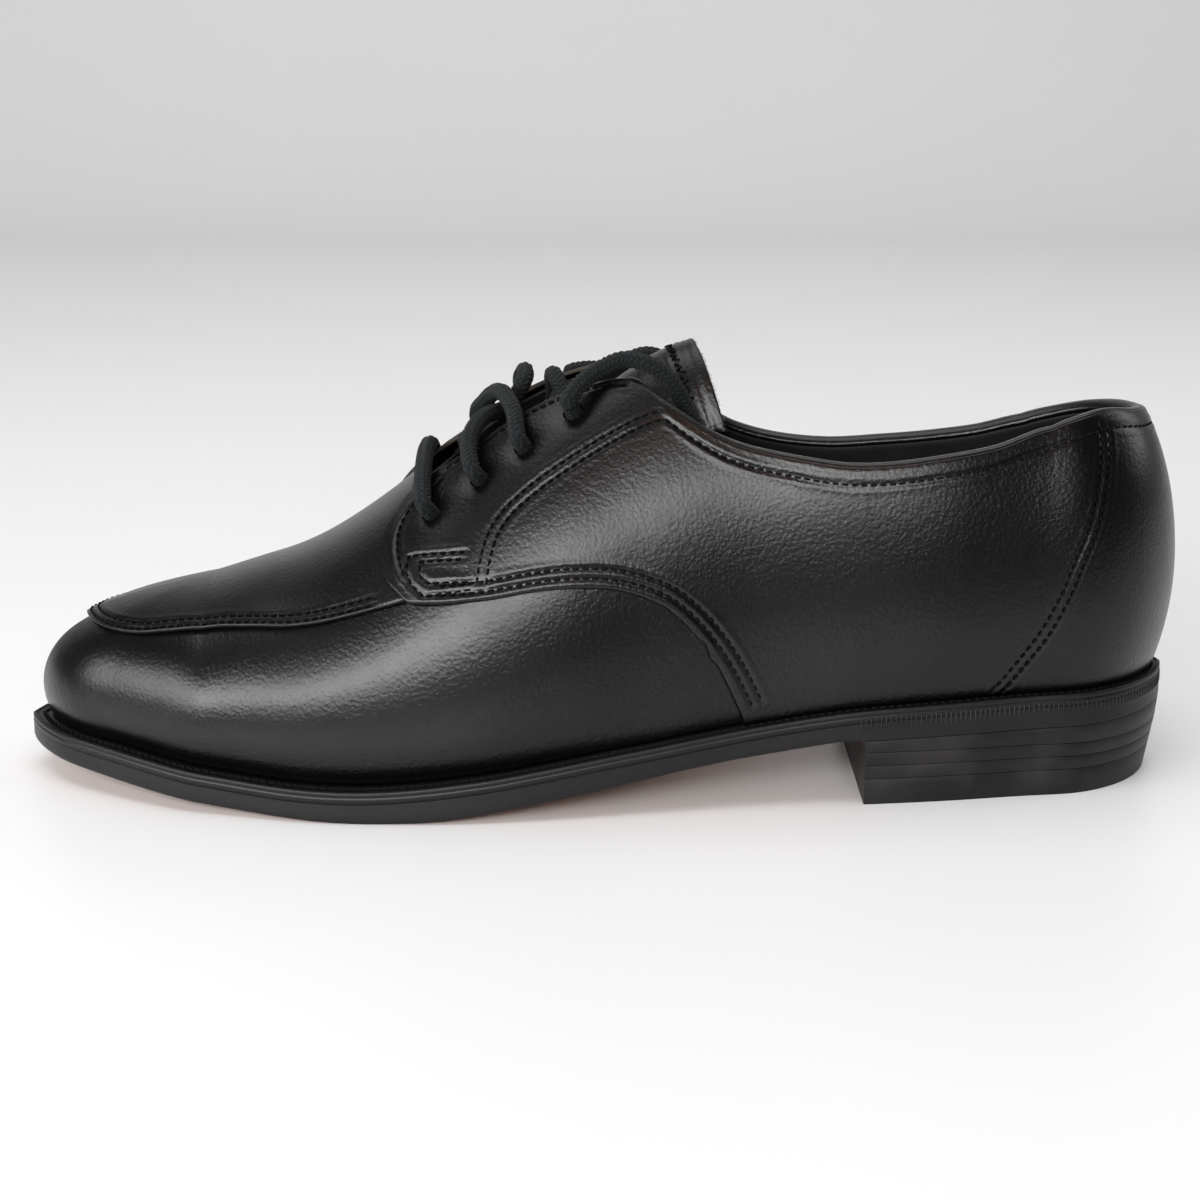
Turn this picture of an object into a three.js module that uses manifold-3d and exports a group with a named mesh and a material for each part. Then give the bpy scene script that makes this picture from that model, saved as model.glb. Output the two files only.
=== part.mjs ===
// A man's black apron-toe derby shoe, left foot: last shape, sole, heel, upper, tongue and lace.
// Millimetres. +X runs from the toe to the heel, +Y to the inner side of the foot, +Z up.
import * as THREE from 'three';
import { mergeVertices } from 'three/addons/utils/BufferGeometryUtils.js';
import Module from 'manifold-3d';

const wasm = await Module();
wasm.setup();

// ---- Driving dimensions ----
const SOLE_LENGTH = 302;
const BALL_WIDTH = 101;
const INSTEP_HEIGHT = 120;
const GAP = 0.35; // clearance between pieces that touch on the real shoe
const LEATHER = 1.3; // upper leather
const QUARTER_LEATHER = 1.4;
const LINING = 0.9;
const PUFF = 0.7; // toe puff and heel counter stiffener
const WELT = 2.6;
const WELT_COVER = 7; // how far the welt reaches in under the upper
const EDGE_BEVEL = 1;
const INSOLE = 2.4;
const SOCK = 1;
const FILLER = 2;
const SHANK = { length: 96, width: 14, thick: 1.2, start: 134 };
const LIFT = 3.6;
const TOP_PIECE = 7;
const HEEL_BREAST = 219.5; // from the toe
const NAIL = { radius: 1.1, head: 2, headThick: 0.8, tip: 9, point: 2, clear: 0.4, inward: 15 };
const LACE = 4.5;
const HOLE = LACE / 2 + 1; // radius of the lace holes
const EYELET = { bore: HOLE + 0.4, rim: 1.3, thick: 0.6 };
const BEAD = 3.2; // rolled topline edge
const TONGUE = { leather: 1.4, lining: 1, across: 5, droop: 6 }; // across: half its strips
const AGLET = { length: 16, radius: 1.5 };

// The last is drawn once for a 302 x 101 x 120 mm shoe and graded to the sizes above.
const DRAWN = new THREE.Vector3(302, 101, 120);
const GRADE = new THREE.Vector3(SOLE_LENGTH, BALL_WIDTH, INSTEP_HEIGHT).divide(DRAWN);

// ---- Smooth curve through stations [place, value], flat-free cubic ----
function through(stations) {
  const last = stations.length - 1;
  const slope = (i) => {
    const a = stations[Math.max(i - 1, 0)];
    const b = stations[Math.min(i + 1, last)];
    return (b[1] - a[1]) / (b[0] - a[0]);
  };
  return (place) => {
    const p = Math.min(Math.max(place, stations[0][0]), stations[last][0]);
    let i = 0;
    while (i < last - 1 && p > stations[i + 1][0]) i += 1;
    const span = stations[i + 1][0] - stations[i][0];
    const t = (p - stations[i][0]) / span;
    const u = 1 - t;
    const ends = stations[i][1] * (1 + 2 * t) * u * u + stations[i + 1][1] * (3 - 2 * t) * t * t;
    return ends + span * (slope(i) * t * u * u - slope(i + 1) * t * t * u);
  };
}
const smooth = (a, b, x) => THREE.MathUtils.smoothstep(x, a, b);

// ---- The last ----
// A station s is the distance from the toe along the middle of the shoe. Round the toe and the
// heel it goes on as arc length of a fan of upright planes about the points below.
const TOE_AXIS = { x: 50, y: 1, radius: 43 };
const HEEL_AXIS = { x: 266, y: 0.5, radius: 32 };
const TIP = TOE_AXIS.x - (TOE_AXIS.radius * Math.PI) / 2;
const BACK = HEEL_AXIS.x + (HEEL_AXIS.radius * Math.PI) / 2;
const NEAR = -1; // outer side of the foot
const FAR = 1; // inner side of the foot

const spineY = through([
  [50, 1], [80, 1.5], [105, 3], [130, 4.5], [160, 4.5], [200, 2.5], [230, 1], [266, 0.5],
]);
const ridgeZ = through([
  [50, 50.2], [62, 54], [73, 57.6], [83.5, 62.8], [98, 72.6], [110, 82.5], [124, 95],
  [138, 105], [150, 111], [162, 116.5], [175, 120], [190, 122], [210, 124], [235, 122], [266, 115],
]);
const rimRadius = {
  [NEAR]: through([
    [TIP, 50], [-0.7, 43.8], [16, 38.6], [33, 38.2], [50, 42], [77, 49.5], [100, 52.8], [122, 54],
    [142, 52], [164, 48], [192, 42], [219, 38.1], [241, 34.8], [266, 30.6], [278.6, 30.9],
    [291, 31.8], [303.7, 33.6], [BACK, 36],
  ]),
  [FAR]: through([
    [TIP, 50], [-0.7, 45.8], [16, 41.3], [33, 40.4], [50, 43.5], [75, 48], [90, 48.5], [115, 42.5],
    [150, 31], [180, 27.5], [215, 29.8], [245, 31.8], [266, 31], [278.6, 31.3], [291, 32.2],
    [303.7, 33.8], [BACK, 36],
  ]),
};
const weltShow = through([[TIP, 5], [20, 5.6], [50, 6], [120, 6], [180, 5.5], [266, 4.5], [BACK, 4]]);
// How far the widest line of the upper stays inside the sole edge.
const bulgeInset = {
  [NEAR]: through([
    [TIP, 3.2], [76, 3.2], [100, 3], [142, 4], [164, 5], [192, 4.5], [219, 3], [241, 1.5], [266, 0.8],
    [BACK, -0.6],
  ]),
  [FAR]: through([
    [TIP, 3.2], [75, 3], [90, 2.5], [115, 1], [150, -2.5], [180, -3], [215, 0], [266, 0.6], [BACK, -0.6],
  ]),
};
const bulgeZ = through([
  [TIP, 22], [50, 20], [100, 22], [122, 25], [150, 32], [182, 40], [219, 47], [266, 53], [BACK, 55],
]);
const soleTop = through([
  [0, 14], [14, 13.4], [29, 12.4], [56, 9.7], [77, 8.3], [97, 8.4], [122, 11], [137, 13.2], [152, 15.6],
  [164, 17.4], [182, 20.2], [192, 21.7], [207, 23.8], [219.5, 25.1], [241, 26.2], [267, 27.2], [302, 27.8],
]);
// The sole's underside: toe spring, flat at the ball, arch, then a straight heel seat.
const soleArch = through([
  [0, 7], [14, 6], [29, 4.6], [56, 2], [76, 0.5], [86, 0], [98, 0], [110, 0.6], [122, 2.2], [137, 4.6],
  [152, 7.2], [164, 9.6], [182, 12.8], [192, 14.2], [207, 16.3], [214, 17.2],
]);
const HEEL_SEAT = { start: 214, z: 17.2, slope: 0.028 };
const heelSeat = (x) => HEEL_SEAT.z + (x - HEEL_SEAT.start) * HEEL_SEAT.slope;
const soleBottom = (x) => (x < HEEL_SEAT.start ? soleArch(x) : heelSeat(x));
const TOE_TILT = 0.12;

// Foot of the upright plane at a station, and the way it faces.
function plane(side, s) {
  if (s < TOE_AXIS.x) {
    const a = (s - TIP) / TOE_AXIS.radius;
    return { x: TOE_AXIS.x, y: TOE_AXIS.y, dx: -Math.cos(a), dy: side * Math.sin(a) };
  }
  if (s > HEEL_AXIS.x) {
    const a = (s - HEEL_AXIS.x) / HEEL_AXIS.radius;
    return { x: HEEL_AXIS.x, y: HEEL_AXIS.y, dx: Math.sin(a), dy: side * Math.cos(a) };
  }
  return { x: s, y: spineY(s), dx: 0, dy: side };
}

const graded = (x, y, z) => new THREE.Vector3(x, y, z).multiply(GRADE);

// A point of the last: h is -1 at the feather line, 0 at the widest line and 1 on the ridge.
function lastPoint(side, s, h) {
  const p = plane(side, s);
  const rim = rimRadius[side](s);
  const wide = rim - bulgeInset[side](s);
  const wideZ = bulgeZ(s);
  if (h < 0) {
    const feather = rim - weltShow(s);
    const featherZ = soleTop(p.x + p.dx * feather) + GAP / GRADE.z;
    const r = wide - (wide - feather) * h * h;
    return graded(p.x + p.dx * r, p.y + p.dy * r, wideZ + h * (wideZ - featherZ));
  }
  const a = (h * Math.PI) / 2;
  const r = wide * Math.cos(a);
  const ridge = ridgeZ(s);
  const tilt = Math.max(-p.dx, 0) * (s < TOE_AXIS.x ? TOE_TILT : 0) * r * Math.sin(a) ** 4;
  return graded(p.x + p.dx * r, p.y + p.dy * r, wideZ + (ridge - wideZ) * Math.sin(a) - tilt);
}

function lastNormal(side, s, h) {
  const e = 0.02;
  if (h > 0.985) {
    const on = Math.min(Math.max(s, TOE_AXIS.x), HEEL_AXIS.x);
    const rise = ((ridgeZ(on + 1) - ridgeZ(on - 1)) / 2) * (GRADE.z / GRADE.x);
    return new THREE.Vector3(-rise, 0, 1).normalize();
  }
  const along = lastPoint(side, Math.min(s + 1, BACK), h).sub(lastPoint(side, Math.max(s - 1, TIP), h));
  if (s < TIP + 1) along.set(0, side, 0);
  if (s > BACK - 1) along.set(0, -side, 0);
  const up = lastPoint(side, s, Math.min(h + e, 1)).sub(lastPoint(side, s, Math.max(h - e, -1)));
  const normal = along.cross(up).multiplyScalar(-side).normalize();
  if (h < 0) normal.z *= 1 + h; // level at the feather line, so every layer ends on the welt
  return normal.normalize();
}

// A point d outside the last's skin, which is the vamp's outer face.
function skin(side, s, h, d) {
  return lastPoint(side, s, h).addScaledVector(lastNormal(side, s, h), d);
}

// The height on the wall that is mm lower than h.
function lower(side, s, h, mm) {
  const e = 0.02;
  const rate = lastPoint(side, s, h + e).distanceTo(lastPoint(side, s, h - e)) / (2 * e);
  return h - mm / rate;
}

// ---- Stations and levels that every layer shares, so nested layers stay apart ----
const fanSteps = (from, to, n) => Array.from({ length: n }, (_, i) => from + ((to - from) * i) / n);
const STATIONS = [
  ...fanSteps(TIP, TOE_AXIS.x, 7),
  50, 62, 74, 86, 98, 100, 102, 105, 113, 122, 131, 140, 149, 158, 162, 167, 173, 179, 183, 186, 188.5,
  200, 214, 228, 242, 254,
  ...fanSteps(HEEL_AXIS.x, BACK, 6), BACK,
];
const COARSE = STATIONS.filter((s) => ![100, 102, 158, 173, 183, 186].includes(s));
const LEVELS = [-1, -0.5, 0, 0.125, 0.25, 0.375, 0.5, 0.625, 0.75, 0.875, 1];

// The rows of one column of a layer, from low to high, always the same count for one layer.
function rows(low, high, count, extra = []) {
  const clear = (h) => h > low + 0.03 && h < high - 0.03;
  const levels = LEVELS.filter((h) => clear(h) && extra.every((e) => Math.abs(e - h) > 0.03));
  const inner = [...levels, ...extra.filter(clear)].sort((a, b) => a - b);
  const list = [low, ...inner, high];
  while (list.length > count) list.splice(list.length - 2, 1);
  while (list.length < count) {
    let widest = 1;
    for (let i = 1; i < list.length; i += 1) {
      if (list[i] - list[i - 1] > list[widest] - list[widest - 1]) widest = i;
    }
    list.splice(widest, 0, (list[widest] + list[widest - 1]) / 2);
  }
  return list;
}

function solidOf(triangles) {
  const points = [];
  for (const corners of triangles) {
    for (const c of corners) points.push(c.x, c.y, c.z);
  }
  const raw = new THREE.BufferGeometry();
  raw.setAttribute('position', new THREE.Float32BufferAttribute(points, 3));
  const merged = mergeVertices(raw, 1e-4);
  const index = [...merged.index.array];
  const at = (i) => new THREE.Vector3().fromBufferAttribute(merged.attributes.position, i);
  const kept = [];
  let volume = 0;
  for (let i = 0; i < index.length; i += 3) {
    const [a, b, c] = index.slice(i, i + 3);
    if (a === b || b === c || a === c) continue;
    kept.push([a, b, c]);
    volume += at(a).dot(at(b).cross(at(c)));
  }
  const turned = volume < 0 ? kept.map(([a, b, c]) => [a, c, b]) : kept;
  merged.setIndex(turned.flat());
  return merged;
}

const quad = (a, b, c, d) => [[a, b, c], [a, c, d]];

// A solid between two grids of points. Columns may close into a loop, and tops may be welded.
function layer(columns, { loop = false, weldTop = false } = {}) {
  const tris = [];
  const n = columns.length;
  const m = columns[0].outer.length;
  const spans = loop ? n : n - 1;
  for (let i = 0; i < spans; i += 1) {
    const a = columns[i];
    const b = columns[(i + 1) % n];
    for (let j = 0; j < m - 1; j += 1) {
      tris.push(...quad(a.outer[j], b.outer[j], b.outer[j + 1], a.outer[j + 1]));
      tris.push(...quad(a.inner[j], a.inner[j + 1], b.inner[j + 1], b.inner[j]));
    }
    tris.push(...quad(a.inner[0], b.inner[0], b.outer[0], a.outer[0]));
    if (!weldTop) tris.push(...quad(a.outer[m - 1], b.outer[m - 1], b.inner[m - 1], a.inner[m - 1]));
  }
  if (!loop) {
    for (const [c, flip] of [[columns[0], true], [columns[n - 1], false]]) {
      for (let j = 0; j < m - 1; j += 1) {
        const wall = quad(c.outer[j], c.inner[j], c.inner[j + 1], c.outer[j + 1]);
        tris.push(...(flip ? wall.map(([p, q, r]) => [p, r, q]) : wall));
      }
    }
  }
  return solidOf(tris);
}

// One column of a layer between two depths; a depth is a number or a function of s and h.
function column(side, s, low, high, count, depthIn, depthOut, extra) {
  const depth = (d, h) => (typeof d === 'function' ? d(s, h) : d);
  const hs = rows(low, high, count, extra);
  return {
    inner: hs.map((h) => skin(side, s, h, depth(depthIn, h))),
    outer: hs.map((h) => skin(side, s, h, depth(depthOut, h))),
  };
}

// Stations from one end of a piece to the other, walking round the toe or the heel.
function between(from, to, list = STATIONS) {
  return [from, ...list.filter((s) => s > from + 0.5 && s < to - 0.5), to];
}
function walkToe(end, list) {
  const near = between(TIP, end, list).reverse().map((s) => [NEAR, s]);
  const far = between(TIP, end, list).slice(1).map((s) => [FAR, s]);
  return [...near, ...far];
}
function walkHeel(start, list) {
  const near = between(start, BACK, list).map((s) => [NEAR, s]);
  const far = between(start, BACK, list).reverse().slice(1).map((s) => [FAR, s]);
  return [...near, ...far];
}

// ---- Depths of the layers, outward from the last's skin ----
const DEPTH = {
  vamp: [-LEATHER, 0],
  apron: [GAP, GAP + LEATHER],
  puff: [-LEATHER - GAP - PUFF, -LEATHER - GAP],
};
const LINING_OUT = -LEATHER - 2 * GAP - PUFF;
DEPTH.lining = [LINING_OUT - LINING, LINING_OUT];
DEPTH.counter = [DEPTH.puff[0], -GAP];
DEPTH.stay = [-0.6, 0];
DEPTH.facingLining = [DEPTH.stay[0] - GAP - LINING, DEPTH.stay[0] - GAP];
const INSIDE = DEPTH.lining[0] - GAP;
const FACING_INSIDE = DEPTH.facingLining[0] - GAP;
// Along the lace holes the lining lies closer under the quarter than it does further down.
const facing = (s, h) => smooth(0.37, 0.48, h) * (1 - smooth(160, 176, s));
const liningDepth = (i) => (s, h) => (
  THREE.MathUtils.lerp(DEPTH.lining[i], DEPTH.facingLining[i], facing(s, h)));

// ---- Outlines of the upper's pieces, as heights on the wall ----
const apronSeam = through([
  [TIP, 0.49], [0, 0.475], [16, 0.48], [33, 0.525], [50, 0.56], [62, 0.525], [76, 0.475], [101, 0.41],
  [120, 0.36],
]);
// Rows of points up the wall in each piece.
const ROWS = { vamp: 8, apron: 7, quarter: 9, vampLining: 11, puff: 7, counter: 6, stay: 4 };
const APRON_END = 105;
const VAMP_END = 200;
const VAMP_LAP = 5; // how far the vamp runs on under the apron and the quarters
const quarterFoot = through([
  [98, 0.53], [100, 0.47], [102, 0.43], [105, 0.38], [122, 0.298], [135, 0.261], [148, 0.225], [157, 0.191],
  [167, 0.137], [170, 0.113], [173, 0.085], [176, 0.052], [179, 0.014], [181, -0.097], [183, -0.311],
  [186, -0.674], [188.5, -1],
]);
const QUARTER_FRONT = 98;
const toplineHeight = {
  [NEAR]: through([
    [98, 0.65], [100, 0.72], [102, 0.76], [105, 0.795], [124, 0.781], [140, 0.762], [150, 0.744],
    [158, 0.705], [162, 0.67], [167, 0.6], [173, 0.535], [180, 0.474], [190, 0.42], [209, 0.359],
    [222, 0.346], [237, 0.361], [252, 0.398], [265, 0.466], [280, 0.507], [291, 0.515], [304, 0.495],
    [BACK, 0.479],
  ]),
  [FAR]: through([
    [98, 0.65], [100, 0.72], [102, 0.77], [105, 0.81], [124, 0.8], [140, 0.755], [150, 0.725],
    [158, 0.69], [162, 0.65], [167, 0.58], [173, 0.513], [180, 0.446], [188, 0.384], [201, 0.33],
    [214, 0.305], [228, 0.305], [241, 0.315],
    [254, 0.342], [266, 0.392], [278, 0.424], [291, 0.455], [304, 0.475], [BACK, 0.479],
  ]),
};
const BEAD_START = 158;
const onlyBack = (s) => smooth(BEAD_START - 9, BEAD_START, s);
const bareTop = (side, s) => lower(side, s, toplineHeight[side](s), onlyBack(s) * (BEAD / 2 + 2 * GAP));
const lift = (s) => (LEATHER + GAP) * (1 - smooth(107, 122, s));

const bodies = new THREE.Group();
function place(name, geometry, look) {
  const mesh = new THREE.Mesh(geometry, new THREE.MeshStandardMaterial(look));
  mesh.name = name;
  bodies.add(mesh);
  return mesh;
}
const LOOK = {
  calf: { color: 0x0c0c0d, roughness: 0.38, metalness: 0 },
  lining: { color: 0x17161a, roughness: 0.8, metalness: 0 },
  edge: { color: 0x111112, roughness: 0.55, metalness: 0 },
  sole: { color: 0x8a5a38, roughness: 0.7, metalness: 0 },
  board: { color: 0x8d7457, roughness: 0.9, metalness: 0 },
  stiffener: { color: 0xb9ad97, roughness: 0.9, metalness: 0 },
  cork: { color: 0x9c6f45, roughness: 1, metalness: 0 },
  steel: { color: 0x9aa0a6, roughness: 0.35, metalness: 1 },
  cord: { color: 0x14181b, roughness: 0.95, metalness: 0 },
  plastic: { color: 0x0a0a0b, roughness: 0.3, metalness: 0 },
};

// ---- Booleans ----
function toManifold(geometry) {
  const bare = geometry.clone();
  bare.deleteAttribute('normal');
  bare.deleteAttribute('uv');
  const merged = mergeVertices(bare, 1e-4);
  return new wasm.Manifold(new wasm.Mesh({
    numProp: 3,
    vertProperties: new Float32Array(merged.attributes.position.array),
    triVerts: new Uint32Array(merged.index.array),
  }));
}
function fromManifold(solid) {
  const mesh = solid.getMesh();
  const geometry = new THREE.BufferGeometry();
  geometry.setAttribute('position', new THREE.Float32BufferAttribute(mesh.vertProperties, 3));
  geometry.setIndex([...mesh.triVerts]);
  return geometry;
}
function cut(geometry, cutters) {
  let solid = toManifold(geometry);
  for (const cutter of cutters) solid = solid.subtract(toManifold(cutter));
  return fromManifold(solid);
}

// ---- Upper ----
const vampLap = (side, s) => lower(side, s, apronSeam(s), -VAMP_LAP);
function vamp() {
  const top = (side, s) => {
    const under = 0.42 * (1 - smooth(139, 190, s));
    return s < APRON_END ? vampLap(side, s) : Math.min(vampLap(side, s), Math.max(under, -0.35));
  };
  const columns = walkToe(VAMP_END, COARSE).map(([side, s]) => (
    column(side, s, -1, top(side, s), ROWS.vamp, ...DEPTH.vamp)));
  return layer(columns);
}
function apron() {
  const columns = walkToe(APRON_END, COARSE).map(([side, s]) => (
    column(side, s, apronSeam(s), 1, ROWS.apron, ...DEPTH.apron, [vampLap(side, s)])));
  return layer(columns, { weldTop: true });
}
// The two quarters meet at the back with this much of a station between them.
const BACK_SEAM = 0.013;
function quarter(side) {
  const inner = (s) => GAP + lift(s);
  const outer = (s) => inner(s) + QUARTER_LEATHER;
  const end = BACK - BACK_SEAM / 2;
  const foot = (s) => (s > 188 ? -1 : quarterFoot(s));
  const columns = between(QUARTER_FRONT, end).map((s) => (
    column(side, s, foot(s), bareTop(side, s), ROWS.quarter, inner, outer)));
  const plain = layer(columns);
  return cut(plain, eyelets(side).map(({ s, h }) => piercer(side, s, h, HOLE)));
}
function vampLining() {
  const columns = walkToe(APRON_END, COARSE).map(([side, s]) => (
    column(side, s, -1, 1, ROWS.vampLining, ...DEPTH.lining)));
  return layer(columns, { weldTop: true });
}
function quarterLining() {
  const columns = walkHeel(APRON_END + 0.6, COARSE).map(([side, s]) => (
    column(side, s, -1, bareTop(side, s), ROWS.quarter, liningDepth(0), liningDepth(1))));
  const holes = [NEAR, FAR].flatMap((side) => eyelets(side).map(({ s, h }) => piercer(side, s, h, HOLE)));
  return cut(layer(columns), holes);
}
function toePuff() {
  const columns = walkToe(50).map(([side, s]) => column(side, s, -0.9, 0.5, ROWS.puff, ...DEPTH.puff));
  return layer(columns);
}
function heelCounter() {
  const top = through([[214, -0.4], [242, 0.1], [266, 0.22], [BACK, 0.28]]);
  const columns = walkHeel(214).map(([side, s]) => (
    column(side, s, -0.95, top(s), ROWS.counter, ...DEPTH.counter)));
  return layer(columns);
}
// Reinforcement between quarter and lining along the lace holes.
function eyeletStay(side) {
  const columns = between(113, 158).map((s) => {
    const top = lower(side, s, toplineHeight[side](s), 1.5);
    return column(side, s, 0.55, top, ROWS.stay, ...DEPTH.stay);
  });
  return cut(layer(columns), eyelets(side).map(({ s, h }) => piercer(side, s, h, HOLE)));
}
// Rolled edge round the ankle opening, from one facing corner to the other.
function toplineBead() {
  const points = walkHeel(BEAD_START + 2).map(([side, s]) => skin(side, s, toplineHeight[side](s), -0.1));
  return tube(points, round(BEAD / 2, 8), 48);
}

// ---- Lace holes ----
function eyelets(side) {
  const heights = side === NEAR ? [0.63, 0.638, 0.645, 0.67] : [0.64, 0.645, 0.65, 0.655];
  return [110.5, 122, 133, 145.4].map((s, i) => ({ s, h: heights[i] }));
}
function onSkin(geometry, side, s, h, d) {
  const normal = lastNormal(side, s, h);
  const turn = new THREE.Quaternion().setFromUnitVectors(new THREE.Vector3(0, 1, 0), normal);
  geometry.applyQuaternion(turn);
  const at = skin(side, s, h, d);
  geometry.translate(at.x, at.y, at.z);
  return geometry;
}
function piercer(side, s, h, radius) {
  return onSkin(new THREE.CylinderGeometry(radius, radius, 16, 10), side, s, h, 0);
}
function eyelet(side, s, h) {
  const outer = EYELET.bore + EYELET.rim;
  const profile = [
    [EYELET.bore, 0], [outer, 0], [outer, EYELET.thick], [EYELET.bore, EYELET.thick], [EYELET.bore, 0],
  ].map(([r, z]) => new THREE.Vector2(r, z));
  const ring = new THREE.LatheGeometry(profile, 12);
  return onSkin(ring, side, s, h, FACING_INSIDE - EYELET.thick - 2.4 * GAP);
}

// ---- Tubes ----
function round(radius, sides) {
  const corners = Array.from({ length: sides }, (_, i) => {
    const t = (2 * Math.PI * i) / sides;
    return new THREE.Vector2(radius * Math.cos(t), radius * Math.sin(t));
  });
  return new THREE.Shape(corners);
}
function tube(points, section, steps) {
  const path = new THREE.CatmullRomCurve3(points, false, 'centripetal');
  return new THREE.ExtrudeGeometry(section, { steps, extrudePath: path, bevelEnabled: false });
}

// ---- Tongue ----
const HINGE_STATION = 107.5;
const tongueEdge = through([[107, 0.66], [130, 0.62], [150, 0.6], [165, 0.56], [184, 0.5]]);
const tongueSink = through([[107, 3], [109, 5.8], [112, 6.4], [118, 6.2], [146, 6], [172, 2], [190, 1]]);
const tongueEnd = (q) => 174.5 + 10 * Math.abs(q) ** 1.5;
function tongueColumn(p, depthIn, depthOut) {
  const column = { inner: [], outer: [] };
  for (let j = -TONGUE.across; j <= TONGUE.across; j += 1) {
    const q = j / TONGUE.across;
    const side = q < 0 ? NEAR : FAR;
    const s = HINGE_STATION + p * (tongueEnd(q) - HINGE_STATION);
    const h = 1 - Math.abs(q) * (1 - tongueEdge(s));
    const sink = tongueSink(s) + smooth(140, 170, s) * TONGUE.droop * q * q;
    column.inner.push(skin(side, s, h, INSIDE - sink + depthIn));
    column.outer.push(skin(side, s, h, INSIDE - sink + depthOut));
  }
  return column;
}
function tongueSheet(depthIn, depthOut) {
  const steps = [0, 0.07, 0.14, 0.28, 0.42, 0.56, 0.7, 0.84, 1];
  return layer(steps.map((p) => tongueColumn(p, depthIn, depthOut)));
}

// ---- Sole ----
// A point of a flat-across plate. Its inset is measured from the sole's edge, or from the foot of
// the upper, which grades with the shoe while insets keep their size.
function ring(side, s, inset, fromUpper = false) {
  const p = plane(side, s);
  const deep = (typeof inset === 'function' ? inset(s) : inset) / Math.hypot(p.dx * GRADE.x, p.dy * GRADE.y);
  const r = rimRadius[side](s) - (fromUpper ? weltShow(s) : 0) - deep;
  return { x: p.x + p.dx * r, y: p.y + p.dy * r };
}
function plate(stations, sections) {
  const columns = stations.map((s) => {
    const half = (side) => sections.map(({ inset, z, fromUpper }) => {
      const c = ring(side, s, inset, fromUpper);
      return new THREE.Vector3(c.x * GRADE.x, c.y * GRADE.y, z(c.x));
    });
    return { near: half(NEAR), far: half(FAR) };
  });
  const tris = [];
  const m = sections.length;
  for (let i = 0; i < columns.length - 1; i += 1) {
    const a = columns[i];
    const b = columns[i + 1];
    for (let j = 0; j < m - 1; j += 1) {
      tris.push(...quad(a.near[j], b.near[j], b.near[j + 1], a.near[j + 1]));
      tris.push(...quad(a.far[j], a.far[j + 1], b.far[j + 1], b.far[j]));
    }
    tris.push(...quad(a.near[0], a.far[0], b.far[0], b.near[0]));
    tris.push(...quad(a.near[m - 1], b.near[m - 1], b.far[m - 1], a.far[m - 1]));
  }
  for (const [c, flip] of [[columns[0], false], [columns[columns.length - 1], true]]) {
    for (let j = 0; j < m - 1; j += 1) {
      const wall = quad(c.near[j], c.near[j + 1], c.far[j + 1], c.far[j]);
      tris.push(...(flip ? wall.map(([p, q, r]) => [p, r, q]) : wall));
    }
  }
  return solidOf(tris);
}
const raised = (f, extra) => (x) => f(x) * GRADE.z + extra;
const outsoleTop = raised(soleTop, -WELT - GAP);
const OVER_SOLE = 60; // height that drilled holes run up to

function outsole() {
  const sections = [
    { inset: 0, z: outsoleTop },
    { inset: 0, z: raised(soleBottom, EDGE_BEVEL) },
    { inset: 2 * EDGE_BEVEL, z: raised(soleBottom, 0) },
  ];
  return cut(plate(STATIONS, sections), nailBores(0));
}
function welt() {
  const column = (side, s) => {
    const at = (inset, z, fromUpper) => {
      const c = ring(side, s, inset, fromUpper);
      return new THREE.Vector3(c.x * GRADE.x, c.y * GRADE.y, z(c.x));
    };
    const top = raised(soleTop, 0);
    const under = raised(soleTop, -WELT);
    const inner = [at(WELT_COVER, under, true), at(WELT_COVER, top, true)];
    return { outer: [at(0, under), at(0, top)], inner };
  };
  const near = between(TIP, BACK).map((s) => column(NEAR, s));
  const far = between(TIP, BACK).slice(1, -1).reverse().map((s) => column(FAR, s));
  return layer([...near, ...far], { loop: true });
}
function insetPlate(from, to, inset, low, thick) {
  return plate(between(from, to), [
    { inset, z: raised(soleTop, low + thick), fromUpper: true },
    { inset, z: raised(soleTop, low), fromUpper: true },
  ]);
}
const LINED = -DEPTH.lining[0] + 2 * GAP;
function shank() {
  const length = SHANK.length / GRADE.x;
  const tris = [];
  const steps = 8;
  const section = (i) => {
    const x = SHANK.start + (length * i) / steps;
    const z = outsoleTop(x) + GAP;
    const y = spineY(x) * GRADE.y * 0.5;
    const w = SHANK.width / 2;
    return [[-w, 0], [w, 0], [w, SHANK.thick], [-w, SHANK.thick]].map(([dy, dz]) => (
      new THREE.Vector3(x * GRADE.x, y + dy, z + dz)));
  };
  for (let i = 0; i < steps; i += 1) {
    const a = section(i);
    const b = section(i + 1);
    for (let j = 0; j < 4; j += 1) tris.push(...quad(a[j], b[j], b[(j + 1) % 4], a[(j + 1) % 4]));
  }
  const [a, b] = [section(0), section(steps)];
  tris.push(...quad(a[0], a[1], a[2], a[3]), ...quad(b[3], b[2], b[1], b[0]));
  return solidOf(tris);
}

// ---- Heel ----
const heelTaper = through([[219, 1], [266, 1.4], [BACK, 3.2]]);
const underSeat = raised(soleBottom, -GAP);
const flat = (z) => () => z;
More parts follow.
